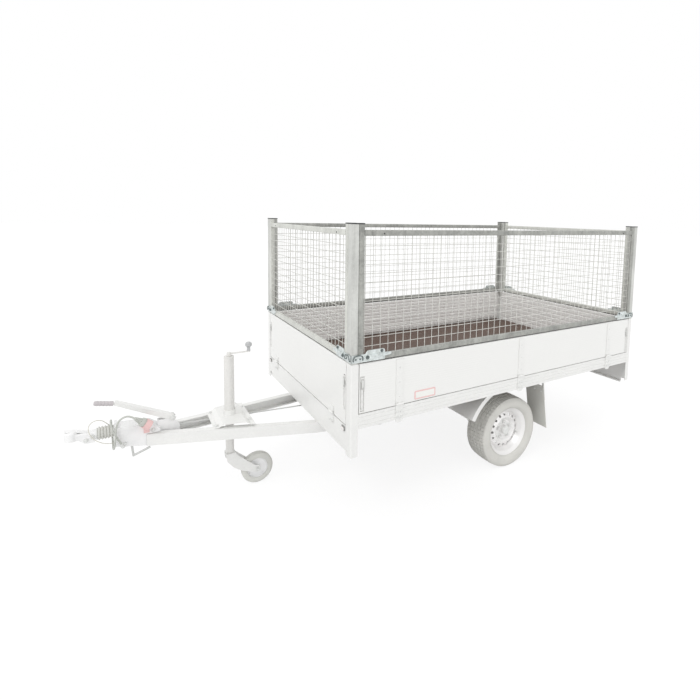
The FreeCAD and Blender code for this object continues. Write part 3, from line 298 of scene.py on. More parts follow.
def bolt(place, normal, across_flats, washer=True):
    """Hexagon head with a chamfered crown on a round washer; radii alternate between corners and flats."""
    across, up, along = frame_along(normal)
    place = np.asarray(place, float)
    shapes = []
    rise = 0.0
    if washer:
        rise = 0.10 * across_flats
        outer = 0.95 * across_flats
        shapes.append(turned([(0, 0), (outer, 0), (outer, rise), (0, rise)], place, along, 20))
    ring = spokes(round_angles(12), across, up)
    flat = np.where(np.arange(12) % 2 == 0, across_flats / math.sqrt(3), across_flats / 2)
    crown = np.full(12, 0.47 * across_flats)
    height = 0.62 * across_flats
    loops = []
    for radius, level in ((flat, rise), (flat, rise + 0.82 * height), (crown, rise + height)):
        loops.append(place + radius[:, None] * ring + level * along)
    shapes.append(swept(np.array(loops)))
    return merged(shapes)


def rivet(place, normal, radius):
    """Low domed head: a quarter wave from the rim to the crown."""
    angles = np.linspace(0, np.pi / 2, 5)
    profile = [(0.0, 0.0)] + [(radius * math.cos(a), 0.5 * radius * math.sin(a)) for a in angles]
    profile[-1] = (0.0, 0.5 * radius)
    return turned(profile, place, normal, 16)


SKINS = {}
FAR = 3.0
ABOVE = 0.9


def beyond(outward, run, level):
    """A place far out on one side of the trailer, so far along X, or along Y at its ends, and so high."""
    outward = np.asarray(outward, float)
    return run * np.abs(np.cross(outward, UP)) + level * UP + FAR * outward


def on_skin(node, place, direction):
    """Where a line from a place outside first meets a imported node."""
    if node not in SKINS:
        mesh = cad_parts[node].data
        SKINS[node] = BVHTree.FromPolygons([vertex.co for vertex in mesh.vertices],
                                           [face.vertices for face in mesh.polygons])
    met = SKINS[node].ray_cast(Vector(place), Vector(direction))[0]
    if met is None:
        raise RuntimeError(f"no face of {node} lies in front of {tuple(place)}")
    return np.array(met)


def bolts_on(node, places, direction, across_flats, washer=True):
    """Bolt heads where lines from the places meet the node."""
    back = -np.asarray(direction, float)
    return [bolt(on_skin(node, place, direction), back, across_flats, washer) for place in places]


def side_bolts(node, outward, spots, across_flats, washer=True):
    """Bolt heads where lines from beyond one side of the trailer meet the node."""
    outward = np.asarray(outward, float)
    return bolts_on(node, [beyond(outward, *spot) for spot in spots], -outward, across_flats, washer)


def add_piece(name, shape, finish, body="frame", sharp=35.0, replaces=()):
    """Puts a shape into a mesh, smooth but for edges sharper than the angle, and hands it to the frame."""
    points, faces = shape
    corners = np.concatenate([f.ravel() for f in faces]).astype(np.int32)
    totals = np.concatenate([np.full(len(f), f.shape[1]) for f in faces])
    starts = np.concatenate([[0], np.cumsum(totals)[:-1]]).astype(np.int32)
    mesh = bpy.data.meshes.new(name)
    mesh.vertices.add(len(points))
    mesh.vertices.foreach_set("co", points.astype(np.float32).ravel())
    mesh.loops.add(len(corners))
    mesh.loops.foreach_set("vertex_index", corners)
    mesh.polygons.add(len(starts))
    mesh.polygons.foreach_set("loop_start", starts)
    mesh.update(calc_edges=True)
    if mesh.validate():
        raise RuntimeError(f"{name} has faulty faces")
    mesh.shade_smooth()
    mesh.set_sharp_from_angle(angle=math.radians(sharp))
    mesh.materials.append(FINISHES[finish])
    piece = bpy.data.objects.new(name, mesh)
    bpy.context.scene.collection.objects.link(piece)
    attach(piece, body)
    if replaces:
        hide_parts(*replaces)
    return piece


def add_zinc(name, shapes, body="frame"):
    """Plated fasteners and small trim, as one piece."""
    add_piece(name, merged(shapes), "bolt", body)


# Finishes

class NodeTree:
    """The node tree of a material or of the world, in the making."""

    def __init__(self, owner):
        owner.use_nodes = True
        self.tree = owner.node_tree

    def join(self, value, socket):
        """Links an output to the socket, or sets a plain value on it."""
        if isinstance(value, bpy.types.NodeSocket):
            self.tree.links.new(value, socket)
        else:
            socket.default_value = value

    def node(self, kind, settings=None, **inputs):
        """A new node; an input goes by its label, or by an underscore and its number."""
        made = self.tree.nodes.new(kind)
        for label, value in (settings or {}).items():
            setattr(made, label, value)
        for label, value in inputs.items():
            self.join(value, made.inputs[int(label[1:]) if label[0] == "_" else label])
        return made

    def compute(self, operation, first, second):
        return self.node("ShaderNodeMath", {"operation": operation}, _0=first, _1=second).outputs[0]


class Finish(NodeTree):
    """A procedural material in the making: its node tree and its shader."""

    def __init__(self, name, roughness, metallic=0.0, **sockets):
        self.material = bpy.data.materials.new(name)
        super().__init__(self.material)
        self.shader = self.tree.nodes["Principled BSDF"]
        self.shader.inputs["Roughness"].default_value = roughness
        self.shader.inputs["Metallic"].default_value = metallic
        for label, value in sockets.items():
            self.shader.inputs[label.replace("_", " ")].default_value = value
        self.place = self.node("ShaderNodeTexCoord").outputs["Object"]

    def stretched(self, scale):
        return self.node("ShaderNodeMapping", Vector=self.place, Scale=scale).outputs["Vector"]

    def noise(self, scale, detail=3.0, where=None, roughness=0.55):
        made = self.node("ShaderNodeTexNoise", Vector=where or self.place, Scale=scale, Detail=detail,
                         Roughness=roughness)
        return made.outputs["Fac"]

    def cells(self, scale, where=None):
        """A grey value for each cell, the same all over it."""
        made = self.node("ShaderNodeTexVoronoi", Vector=where or self.place, Scale=scale)
        return self.node("ShaderNodeSeparateColor", Color=made.outputs["Color"]).outputs["Red"]

    def stripes(self, scale, direction):
        settings = {"bands_direction": direction}
        return self.node("ShaderNodeTexWave", settings, Vector=self.place, Scale=scale).outputs["Fac"]

    def weighted(self, *parts):
        """A sum of patterns, each times its weight, held between 0 and 1."""
        total = 0.0
        for k, (pattern, weight) in enumerate(parts):
            settings = {"operation": "MULTIPLY_ADD", "use_clamp": k == len(parts) - 1}
            total = self.node("ShaderNodeMath", settings, _0=pattern, _1=weight, _2=total).outputs[0]
        return total

    def spread(self, value, low, high):
        """The value from 0 to 1 carried to the range from low to high."""
        made = self.node("ShaderNodeMapRange", Value=value)
        made.inputs["To Min"].default_value = low
        made.inputs["To Max"].default_value = high
        return made.outputs["Result"]

    def blend(self, share, first, second):
        """From the first colour to the second as the share goes from 0 to 1."""
        made = self.node("ShaderNodeMix", {"data_type": "RGBA"}, _0=share)
        for number, value in ((6, first), (7, second)):
            linked = isinstance(value, bpy.types.NodeSocket)
            self.join(value if linked else (*value, 1.0), made.inputs[number])
        return made.outputs[2]

    def shaded(self, colour, share, darker, lighter):
        """The colour from a darker to a lighter one as the share goes from 0 to 1."""
        low = tuple(min(1.0, channel * darker) for channel in colour)
        high = tuple(min(1.0, channel * lighter) for channel in colour)
        return self.blend(share, low, high)

    def finish(self, colour, roughness=None, height=None, depth=0.0005, strength=1.0):
        """The material, its shader fed by these outputs; the height makes a bump of the depth in metres."""
        self.join(colour, self.shader.inputs["Base Color"])
        if roughness is not None:
            self.join(roughness, self.shader.inputs["Roughness"])
        if height is not None:
            bump = self.node("ShaderNodeBump", Height=height, Distance=depth, Strength=strength)
            self.join(bump.outputs["Normal"], self.shader.inputs["Normal"])
        return self.material


def hot_dip_zinc(name, colour, metallic, darker, lighter, spangled=0.4, streaked=0.3):
    """Galvanised steel: spangle in flat cells some 12 mm across, under clouds and upright runs."""
    made = Finish(name, 0.4, metallic)
    wobble = {"_0": made.noise(60.0, 2.0), "_1": (0.006, 0.006, 0.006), "_2": made.place}
    moved = made.node("ShaderNodeVectorMath", {"operation": "MULTIPLY_ADD"}, **wobble).outputs[0]
    spangle = made.cells(85.0, moved)
    clouds = made.spread(made.noise(7.0, 5.0), -0.8, 1.8)
    runs = made.spread(made.noise(1.0, 4.0, made.stretched((34.0, 34.0, 2.5))), -1.0, 2.0)
    share = made.weighted((spangle, spangled), (clouds, 1 - spangled - streaked), (runs, streaked))
    grain = made.noise(700.0, 2.0)
    shine = made.spread(spangle, 0.32, 0.52)
    return made.finish(made.shaded(colour, share, darker, lighter), shine, grain, 0.0002)


def board_sheet():
    """Drop boards: a pale outer face with faint rolled lines, and bare scuffed metal on the inner face, set
    lighter than the outer face to lift the shade in the load space: painted light.
    """
    made = Finish("Board sheet", 0.42, 0.15)
    axes = made.node("ShaderNodeSeparateXYZ", Vector=made.place).outputs
    skin = 0.012
    half_width = corners_of("board_left")[1][1] - skin
    half_length = corners_of("board_front")[1][0] - skin - BED_MIDDLE
    beyond_side = made.compute("GREATER_THAN", made.compute("ABSOLUTE", axes["Y"], 0.0), half_width)
    from_middle = made.compute("ABSOLUTE", made.compute("SUBTRACT", axes["X"], BED_MIDDLE), 0.0)
    beyond_end = made.compute("GREATER_THAN", from_middle, half_length)
    outer = made.compute("MAXIMUM", beyond_side, beyond_end)
    clouds = made.noise(3.0, 4.0)
    scratches = made.noise(1.0, 6.0, made.stretched((9.0, 9.0, 160.0)), 0.7)
    share = made.weighted((clouds, 0.5), (scratches, 0.5))
    outside = made.shaded(chosen("outside"), share, 0.96, 1.02)
    # Inner face: bare metal, its colour lighter than the outside as painted light against the shade of the
    # load space.
    inside = made.shaded(chosen("inside"), share, 0.88, 1.10)
    lines = made.stripes(22.0, "Z")
    shine = made.spread(clouds, 0.36, 0.5)
    return made.finish(made.blend(outer, inside, outside), shine, lines, 0.0004, 0.5)


def film_faced_plywood():
    """Floor: brown film pressed with a fine wire pattern, dusty and rubbed in streaks along the bed."""
    made = Finish("Film-faced plywood", 0.5)
    pressed = made.compute("MAXIMUM", made.stripes(55.0, "X"), made.stripes(55.0, "Y"))
    rubbed = made.noise(1.0, 5.0, made.stretched((1.6, 7.0, 1.0)), 0.65)
    dust = made.noise(14.0, 5.0)
    colour = made.shaded(chosen("plywood"), made.weighted((rubbed, 0.6), (dust, 0.4)), 0.62, 1.45)
    return made.finish(colour, made.spread(rubbed, 0.4, 0.62), pressed, 0.0006)


def rubber(name, colour, grain=900.0):
    """Rubber: matt, slightly dusty, with a fine moulded grain."""
    made = Finish(name, 0.75)
    dust = made.noise(9.0, 5.0)
    fine = made.noise(grain, 2.0)
    shine = made.spread(dust, 0.68, 0.86)
    return made.finish(made.shaded(colour, dust, 0.86, 1.10), shine, fine, 0.0003, 0.6)


def moulded_plastic(name, colour, roughness=0.42, texture=1400.0):
    """Moulded plastic with a fine eroded texture and a little bloom."""
    made = Finish(name, roughness)
    bloom = made.noise(20.0, 3.0)
    fine = made.noise(texture, 1.0)
    shine = made.spread(bloom, roughness, roughness + 0.14)
    return made.finish(made.shaded(colour, bloom, 0.93, 1.06), shine, fine, 0.00015, 0.5)


def lens_plastic(name, colour):
    """Lamp lens: clear-coated plastic with fine upright flutes moulded behind its face."""
    made = Finish(name, 0.18, Coat_Weight=0.6, Coat_Roughness=0.05)
    flutes = made.stripes(90.0, "Y")
    share = made.compute("MULTIPLY", flutes, made.noise(6.0, 2.0))
    return made.finish(made.shaded(colour, share, 0.85, 1.1), None, flutes, 0.0006, 0.4)


def wheel_paint():
    """Silver paint on pressed steel, with a fine metallic fleck under dust."""
    made = Finish("Silver wheel paint", 0.36, 0.45)
    dust = made.noise(12.0, 5.0)
    colour = made.shaded(chosen("rim"), made.weighted((made.cells(1500.0), 0.35), (dust, 0.65)), 0.88, 1.08)
    return made.finish(colour, made.spread(dust, 0.3, 0.46), dust, 0.0002)


def casting(name, colour, metallic):
    """Cast or forged metal under a thin coat: pitted by the mould, rubbed brighter in places."""
    made = Finish(name, 0.5, metallic)
    pits = made.noise(260.0, 4.0, roughness=0.7)
    worn = made.noise(16.0, 4.0)
    return made.finish(made.shaded(colour, worn, 0.87, 1.08), made.spread(worn, 0.4, 0.6), pits, 0.0004)


def bright_zinc():
    """Bright plated fittings: bluish, with a yellow-green passivation bloom in clouds."""
    made = Finish("Bright zinc", 0.28, 0.6)
    bloom = made.noise(30.0, 4.0)
    fine = made.noise(400.0, 3.0)
    rubbed = made.weighted((made.spread(made.noise(55.0, 3.0), -0.6, 1.6), 1.0))
    plated = made.shaded(chosen("fitting"), rubbed, 0.62, 1.2)
    tinted = made.blend(made.compute("MULTIPLY", bloom, 0.5), plated, tone(212, 218, 208))
    return made.finish(tinted, made.spread(bloom, 0.2, 0.42), fine, 0.00015)


def wire_rope():
    """Thin steel rope with a greyish bloom in its lays."""
    made = Finish("Steel rope", 0.4, 0.3)
    stain = made.noise(120.0, 3.0)
    return made.finish(made.shaded(tone(216, 213, 202), stain, 0.75, 1.15), made.spread(stain, 0.3, 0.55))


def plate_sheet():
    """Blank reflective sheet of the number plate, with the fine honeycomb of its beads."""
    made = Finish("Blank plate", 0.32)
    beads = made.cells(420.0)
    share = made.compute("MULTIPLY", beads, made.noise(8.0, 3.0))
    return made.finish(made.shaded(tone(238, 238, 234), share, 0.95, 1.04), None, beads, 0.0002, 0.3)


FINISHES = {}


def make_finishes():
    """All materials, by the names that pieces and nodes use. The mesh panels' tubes are darker on the long
    sides than on the ends: painted shade and painted light for how the lamps fall on them."""
    # Painted shade on the side panels' tubes and painted light on the end panels' tubes, one zinc in two
    # tones.
    shaded_side_tube = tuple(0.8 * channel for channel in chosen("tube"))
    lit_end_tube = tuple(1.5 * channel for channel in chosen("tube"))
    FINISHES.update({
        "post": hot_dip_zinc("Cage post zinc", chosen("steel"), 0.25, 0.74, 1.22, 0.2, 0.5),
        "tube_painted_shade": hot_dip_zinc("Side tube zinc", shaded_side_tube, 0.25, 0.6, 1.5, 0.3, 0.3),
        "tube_painted_light": hot_dip_zinc("End tube zinc", lit_end_tube, 0.25, 0.8, 1.2, 0.3, 0.3),
        "wire": hot_dip_zinc("Mesh wire zinc", chosen("mesh"), 0.3, 0.8, 1.14, 0.5, 0.2),
        "chassis": hot_dip_zinc("Chassis zinc", chosen("pale_steel"), 0.1, 0.96, 1.03, 0.5, 0.05),
        "board": board_sheet(),
        "plywood": film_faced_plywood(),
        "fitting": bright_zinc(),
        "tyre": rubber("Tyre rubber", chosen("tyre")),
        "rubber": rubber("Moulded rubber", chosen("rubber"), 600.0),
        "grip": moulded_plastic("Grip plastic", chosen("grip")),
        "cap": moulded_plastic("Cap plastic", tone(52, 54, 54), 0.5),
        "knob": moulded_plastic("Knob plastic", tone(184, 185, 186)),
        "rim": wheel_paint(),
        "cast": casting("Coated casting", chosen("cast"), 0.12),
        "red": moulded_plastic("Red plastic", chosen("red"), 0.35),
        "bolt": casting("Plated bolts", tone(226, 227, 225), 0.3),
        "dark": moulded_plastic("Dark plastic", tone(196, 196, 193), 0.5),
        "jockey": hot_dip_zinc("Jockey tube zinc", tone(226, 225, 222), 0.15, 0.92, 1.05),
        # Dark rubber that stands in for the shadowed gap between panel and board: painted shadow.
        "seal": rubber("Seal rubber", tone(96, 96, 94)),
        "rod": casting("Plain steel rod", tone(206, 207, 205), 0.3),
        # Darker than the fittings' plates: partly plating, partly painted shade in and under the loops and
        # bolts.
        "lock": casting("Plated locks", tone(112, 120, 120), 0.5),
        "lens_clear": lens_plastic("Clear lens", tone(238, 234, 232)),
        "lens_red": lens_plastic("Red lens", chosen("red")),
        "lens_amber": lens_plastic("Amber lens", chosen("amber")),
        "lamp": moulded_plastic("Lamp housing", tone(150, 150, 148), 0.45),
        "sheath": moulded_plastic("Cable sheath", chosen("sheath"), 0.5, 900.0),
        "plate": plate_sheet(),
        "rope": wire_rope(),
    })


NODE_FINISHES = {
    "board": ("board_left", "board_right", "board_front", "board_rear"),
    "post": ("cage_posts",),
    "cap": ("post_caps",),
    "fitting": ("corner_fittings",),
    "plywood": ("floor_panel",),
    "tyre": ("tyre_left", "tyre_right"),
    "rubber": ("bellows", "mudflaps", "jockey_tyre"),
    "grip": ("lever_grip",),
    "knob": ("crank_knob",),
    "rim": ("rim_left", "rim_right"),
    "cast": ("coupling_head", "overrun_housing", "jockey_rim"),
    "lamp": ("lamps",),
    "plate": ("number_plate",),
    "rod": ("draw_rods",),
    "jockey": ("jockey_outer_tube", "jockey_inner_tube", "crank"),
    "red": ("plug_holder",),
    "sheath": ("plug", "electric_cable"),
    "bolt": ("cable_gland",),
    "rope": ("breakaway_cable",),
}


class TRAILER_OT_finishes(bpy.types.Operator):
    """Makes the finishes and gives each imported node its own"""
    bl_idname = "trailer.finishes"
    bl_label = "Finishes"

    def execute(self, context):
        make_finishes()
        finish_of = {node: key for key, nodes in NODE_FINISHES.items() for node in nodes}
        for name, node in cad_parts.items():
            for material_slot in node.material_slots:
                material_slot.material = FINISHES[finish_of.get(name, "chassis")]
        return {"FINISHED"}


# Stage, with the camera that was fitted to the photograph

CAMERA_PLACE = Vector((1.6952, 3.0121, 1.7668))
CAMERA_YAW = math.radians(-122.902)
CAMERA_PITCH = math.radians(-5.190)
CAMERA_ROLL = math.radians(1.343)
FOCAL_PIXELS = 467.39
PRINCIPAL_POINT = (413.0, 258.4)
IMAGE_SIZE = 700
SENSOR_WIDTH = 36.0
FLOOR_REACH = 60.0
WHITE = (1.0, 1.0, 1.0, 1.0)
LAMPS = (("Key lamp", (-0.75, -0.35, -0.9), 0.65, 20.0), ("Fill lamp", (-0.1, -0.9, -0.2), 0.22, 40.0))


class TRAILER_OT_stage(bpy.types.Operator):
    """Sets the camera, the pale floor, the white surroundings and the soft lamps"""
    bl_idname = "trailer.stage"
    bl_label = "Stage"

    def execute(self, context):
        scene = context.scene
        scene.view_settings.view_transform = "Standard"
        self.set_camera(scene)
        self.lay_floor(scene)
        self.light(scene)
        return {"FINISHED"}

    def set_camera(self, scene):
        level = math.cos(CAMERA_PITCH)
        ahead = Vector((math.cos(CAMERA_YAW) * level, math.sin(CAMERA_YAW) * level, math.sin(CAMERA_PITCH)))
        level_right = ahead.cross(Vector((0, 0, 1))).normalized()
        level_up = level_right.cross(ahead)
        right = level_right * math.cos(CAMERA_ROLL) + level_up * math.sin(CAMERA_ROLL)
        up = level_up * math.cos(CAMERA_ROLL) - level_right * math.sin(CAMERA_ROLL)
        lens = bpy.data.cameras.new("Camera")
        lens.sensor_fit = "HORIZONTAL"
        lens.sensor_width = SENSOR_WIDTH
        lens.lens = FOCAL_PIXELS * SENSOR_WIDTH / IMAGE_SIZE
        lens.shift_x = (IMAGE_SIZE / 2 - PRINCIPAL_POINT[0]) / IMAGE_SIZE
        lens.shift_y = (PRINCIPAL_POINT[1] - IMAGE_SIZE / 2) / IMAGE_SIZE
        lens.clip_end = 200.0
        camera = bpy.data.objects.new("Camera", lens)
        turn = Matrix((right, up, -ahead)).transposed().to_4x4()
        camera.matrix_world = Matrix.Translation(CAMERA_PLACE) @ turn
        scene.collection.objects.link(camera)
        scene.camera = camera

    def lay_floor(self, scene):
        """A pale floor that takes shadows and glows near white where the camera or a glossy face sees it."""
        mesh = bpy.data.meshes.new("Floor")
        corners = [(x * FLOOR_REACH, y * FLOOR_REACH, 0) for x, y in ((-1, -1), (1, -1), (1, 1), (-1, 1))]
        mesh.from_pydata(corners, [], [(0, 1, 2, 3)])
        floor = bpy.data.objects.new("Floor", mesh)
        scene.collection.objects.link(floor)
        material = bpy.data.materials.new("White floor")
        made = NodeTree(material)
        made.tree.nodes.clear()
        plain = made.node("ShaderNodeBsdfDiffuse", Color=(0.8, 0.8, 0.8, 1.0)).outputs[0]
        glow = made.node("ShaderNodeEmission", Strength=1.08).outputs[0]
        shown = made.node("ShaderNodeMixShader", Fac=0.80, _1=plain, _2=glow).outputs[0]
        rays = made.node("ShaderNodeLightPath").outputs
        seen = made.compute("MAXIMUM", rays["Is Camera Ray"], rays["Is Glossy Ray"])
        surface = made.node("ShaderNodeMixShader", Fac=seen, _1=plain, _2=shown).outputs[0]
        made.node("ShaderNodeOutputMaterial", Surface=surface)
        mesh.materials.append(material)

    def light(self, scene):
        """White surroundings of strength 1, and two soft suns, whose width is in degrees."""
        scene.world = bpy.data.worlds.new("Studio")
        made = NodeTree(scene.world)
        made.tree.nodes.clear()
        around = made.node("ShaderNodeBackground", Color=WHITE, Strength=1.0)
        made.node("ShaderNodeOutputWorld", Surface=around.outputs[0])
        for name, direction, strength, width in LAMPS:
            lamp = bpy.data.lights.new(name, "SUN")
            lamp.energy = strength
            lamp.angle = math.radians(width)
            holder = bpy.data.objects.new(name, lamp)
            holder.rotation_euler = Vector(direction).to_track_quat("-Z", "Y").to_euler()
            scene.collection.objects.link(holder)


# Cords: each route has the points of the one in the part's source, in millimetres, X from the bed's middle

CABLE_ROUTE = ((2328, 66, 472), (2340, 73, 500), (2354, 76, 532), (2368, 66, 564), (2373, 38, 584),
               (2374, 2, 588), (2373, -36, 581), (2372, -66, 556), (2371, -78, 518), (2369, -70, 478),
               (2367, -44, 446), (2366, -6, 431), (2364, 34, 435), (2361, 66, 456), (2357, 86, 488),
               (2354, 93, 524), (2352, 93, 560), (2347, 91, 592), (2334, 88, 617), (2310, 86, 631),
               (2283, 85, 629), (2262, 84, 612))
ROPE_ROUTE = ((2357, 36, 474), (2376, 36, 474), (2400, 43, 482), (2428, 47, 498), (2453, 46, 521),
              (2470, 41, 548), (2478, 30, 576), (2470, 15, 598), (2448, 0, 606), (2424, -15, 599),
              (2405, -29, 582), (2391, -40, 561), (2375, -47, 543), (2357, -47, 543))


def in_model(point):
    """A route's point in the frame's metres."""
    return Vector(point) / 1000 + Vector((BED_MIDDLE, 0.0, 0.0))


def spline_curve(name, route):
    """A curve of one NURBS spline, with the route's points as its control points."""
    curve = bpy.data.curves.new(name, "CURVE")
    curve.dimensions = "3D"
    curve.resolution_u = 8
    spline = curve.splines.new("NURBS")
    spline.points.add(len(route) - 1)
    for control, point in zip(spline.points, route):
        control.co = (*in_model(point), 1.0)
    spline.order_u = 3
    spline.use_endpoint_u = True
    cord = bpy.data.objects.new(name, curve)
    bpy.context.scene.collection.objects.link(cord)
    return cord


def points_along(route):
    """Points of the route's spline, as Blender gives them for a curve with no bevel."""
    guide = spline_curve("guide", route)
    bpy.context.view_layer.update()
    line = bpy.data.meshes.new_from_object(guide)
    points = np.array([vertex.co[:] for vertex in line.vertices])
    bpy.data.meshes.remove(line)
    curve = guide.data
    bpy.data.objects.remove(guide)
    bpy.data.curves.remove(curve)
    return points


def stranded_rope(points, radius):
    """Rope: about its line, radius times 1 - 0.16 (1 - |cos(strands (a - 2 pi s / lay) / 2)|)."""
    strands = 6
    lay = 0.026
    angles = round_angles(strands * 4)
    twist = angles - 2 * np.pi * run_along(points)[:, None] / lay
    reach = radius * (1 - 0.16 * (1 - np.abs(np.cos(strands * twist / 2))))
    return swept(points[:, None, :] + reach[..., None] * spokes(angles, *carried_frames(points)))


class TRAILER_OT_cords(bpy.types.Operator):
    """Lays the electric cable with its plug, and the thin breakaway rope"""
    bl_idname = "trailer.cords"
    bl_label = "Cords"

    def execute(self, context):
        self.lay_cable()
        self.lay_rope()
        return {"FINISHED"}

    def lay_cable(self):
        plug = self.make_plug()
        cable = spline_curve("towing_cable", CABLE_ROUTE)
        cable.data.bevel_depth = sizes().cable / 2
        cable.data.bevel_resolution = 4
        cable.data.use_fill_caps = True
        cable.data.materials.append(FINISHES["sheath"])
        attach(cable, "frame")
        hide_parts("electric_cable")

    def make_plug(self):
        """Plug: a boot of five rings that widen from the cable, and a body with 20 flutes of 0.8 mm."""
        start = np.array(in_model(CABLE_ROUTE[-1]))
        before = np.array(in_model(CABLE_ROUTE[-2]))
        across, up, along = frame_along(start - before)
        boot = 0.040
        rows = [(0.0068, 0.0), (0.0072, 0.001)]
        for k in range(5):
            radius = 0.0085 + 0.0019 * k
            level = 0.003 + 0.0072 * k
            rows += [(radius, level), (radius + 0.0006, level + 0.0045), (radius - 0.0012, level + 0.0052),
                     (radius - 0.0010, level + 0.0066)]
        rows += [(0.0185, boot), (0.0230, boot + 0.0015), (0.0230, boot + 0.007), (0.0250, boot + 0.008),
                 (0.0250, boot + 0.016), (0.0230, boot + 0.017), (0.0230, boot + 0.045),
                 (0.0220, boot + 0.046)]
        rows = np.array(rows)
        angles = round_angles(80)
        fluted = ((rows[:, 1] > boot + 0.017) & (rows[:, 1] < boot + 0.0455))[:, None]
        reach = rows[:, :1] - 0.0008 * fluted * (np.cos(20 * angles) > 0)
        loops = start + reach[..., None] * spokes(angles, across, up) + rows[:, 1][:, None, None] * along
        return add_piece("towing_plug", swept(loops), "sheath", replaces=("plug",))

    def lay_rope(self):
        points = points_along(ROPE_ROUTE)
        rope = add_piece("breakaway_rope", stranded_rope(points, sizes().rope / 2), "rope",
                         sharp=60.0, replaces=("breakaway_cable",))


# Mesh cage

TUBE_HEIGHT = 0.032
TUBE_DEPTH = 0.025
TUBE_CORNER = 0.004
RAIL_DROP = 0.030
# Dark strip under each panel's bottom rail: painted shadow of the gap between panel and board.
GAP_SHADOW_HEIGHT = 0.0045
GAP_SHADOW_DEPTH = 0.018
DRAIN_INSET = 0.150
PANELS = (("left", (-1.0, 0.0, 0.0)), ("right", (1.0, 0.0, 0.0)), ("front", (0.0, 1.0, 0.0)),
          ("rear", (0.0, -1.0, 0.0)))


def panel_measures(node, across):
    """Of a mesh panel: its lowest and highest corner, its middle, half its width and the way it faces."""
    low, high = corners_of(node)
    return low, high, (low + high) / 2, abs((high - low) @ across) / 2, np.cross(across, UP)


def panel_frame(node, across):
    """Two stiles as tall as the posts, with a bottom rail and a lower top rail welded between them."""
    low, high, centre, reach, normal = panel_measures(node, across)
    section = (TUBE_HEIGHT, TUBE_DEPTH, TUBE_CORNER)
    shapes = []
    for side in (-1, 1):
        foot = centre + side * (reach - TUBE_HEIGHT / 2) * across
        foot[2] = low[2]
        head = foot.copy()
        head[2] = high[2]
        shapes.append(bar(foot, head, across, *section))
    inner = (reach - TUBE_HEIGHT + 0.0005) * across
    edge = (TUBE_HEIGHT / 2 - TUBE_CORNER) * UP
    for level in (low[2] + TUBE_HEIGHT / 2, high[2] - RAIL_DROP - TUBE_HEIGHT / 2):
        middle = np.array([centre[0], centre[1], level])
        shapes.append(bar(middle - inner, middle + inner, UP, *section))
        for side in (-1, 1):
            for face in (-1, 1):
                seam = middle + side * (reach - TUBE_HEIGHT) * across + face * TUBE_DEPTH / 2 * normal
                shapes.append(weld([seam - edge, seam + edge], 0.0014))
    return merged(shapes)


def panel_wires(node, across):
    """Welded wires: uprights on the outer side, levels on the inner, a bead at each crossing."""
    low, high, centre, reach, normal = panel_measures(node, across)
    wire = sizes().wire
    pitch = sizes().pitch
    inner_width = reach - TUBE_HEIGHT
    count = int(inner_width / pitch)
    upright = np.arange(-count, count + 1) * pitch
    upright = upright[np.abs(upright) < inner_width - wire]
    bottom = low[2] + TUBE_HEIGHT
    top = high[2] - RAIL_DROP - TUBE_HEIGHT
    level = np.arange(bottom + pitch, top - pitch / 2, pitch)
    lift = 0.92 * wire / 2 * normal
    sunk = 0.001
    foot = centre + upright[:, None] * across + lift
    head = foot.copy()
    foot[:, 2] = bottom - sunk
    head[:, 2] = top + sunk
    middle = np.repeat((centre - lift)[None], len(level), axis=0)
    middle[:, 2] = level
    end = (inner_width + sunk) * across
    return merged([rods(foot, head, wire / 2), rods(middle - end, middle + end, wire / 2),
                   weld_beads(centre, upright, level, across, wire * 0.62)])


def weld_beads(centre, upright, level, across, radius):
    """A small octahedron at every crossing: six points, one each way along each axis at the radius."""
    x, z = np.meshgrid(upright, level, indexing="ij")
    places = centre + x.ravel()[:, None] * across
    places[:, 2] = z.ravel()
    star = radius * np.array([(1, 0, 0), (-1, 0, 0), (0, 1, 0), (0, -1, 0), (0, 0, 1), (0, 0, -1)], float)
    corners = np.array([(0, 2, 4), (2, 1, 4), (1, 3, 4), (3, 0, 4),
                        (2, 0, 5), (1, 2, 5), (3, 1, 5), (0, 3, 5)])
    points = (places[:, None, :] + star[None]).reshape(-1, 3)
    faces = (np.arange(len(places)) * 6)[:, None, None] + corners[None]
    return points, [faces.reshape(-1, 3)]


class TRAILER_OT_cage(bpy.types.Operator):
    """Builds the four mesh panels: tube frames, welded wires, dark strips of painted gap shadow and the plugs
    of their drain holes
    """
    bl_idname = "trailer.cage"
    bl_label = "Mesh cage"

    def execute(self, context):
        for side, across in PANELS:
            across = np.array(across)
            node = "mesh_" + side
            # Side panels take the tubes with painted shade, end panels the tubes with painted light.
            tube = "tube_painted_shade" if across[0] else "tube_painted_light"
            for name, skin, finish in (("frame", panel_frame, tube), ("wires", panel_wires, "wire")):
                add_piece(f"cage_{name}_{side}", skin(node, across), finish, replaces=(node,))
            self.add_plugs(node, across, side)
            self.add_gap_shadow(node, across, side)
        return {"FINISHED"}

    def add_plugs(self, node, across, side):
        """Plugged drain holes of the top rail, on its outer face near both ends."""
        high, centre, reach, normal = panel_measures(node, across)[1:]
        shapes = []
        for end in (-1, 1):
            place = centre + end * (reach - DRAIN_INSET) * across + TUBE_DEPTH / 2 * normal
            place[2] = high[2] - RAIL_DROP - 0.62 * TUBE_HEIGHT
            shapes.append(rivet(place, normal, 0.0045))
        add_piece("drain_plugs_" + side, merged(shapes), "cap")

    def add_gap_shadow(self, node, across, side):
        """Dark rubber strip under the bottom rail, painted shadow of the gap above the board; clear of the
        board's top edge as it swings.
        """
        low, _, middle, reach = panel_measures(node, across)[:4]
        middle[2] = low[2] - GAP_SHADOW_HEIGHT / 2
        end = (reach - TUBE_HEIGHT) * across
        strip = bar(middle - end, middle + end, UP, GAP_SHADOW_HEIGHT, GAP_SHADOW_DEPTH, 0.0015, 2)
        add_piece("panel_seal_" + side, strip, "seal")


# Corner fittings

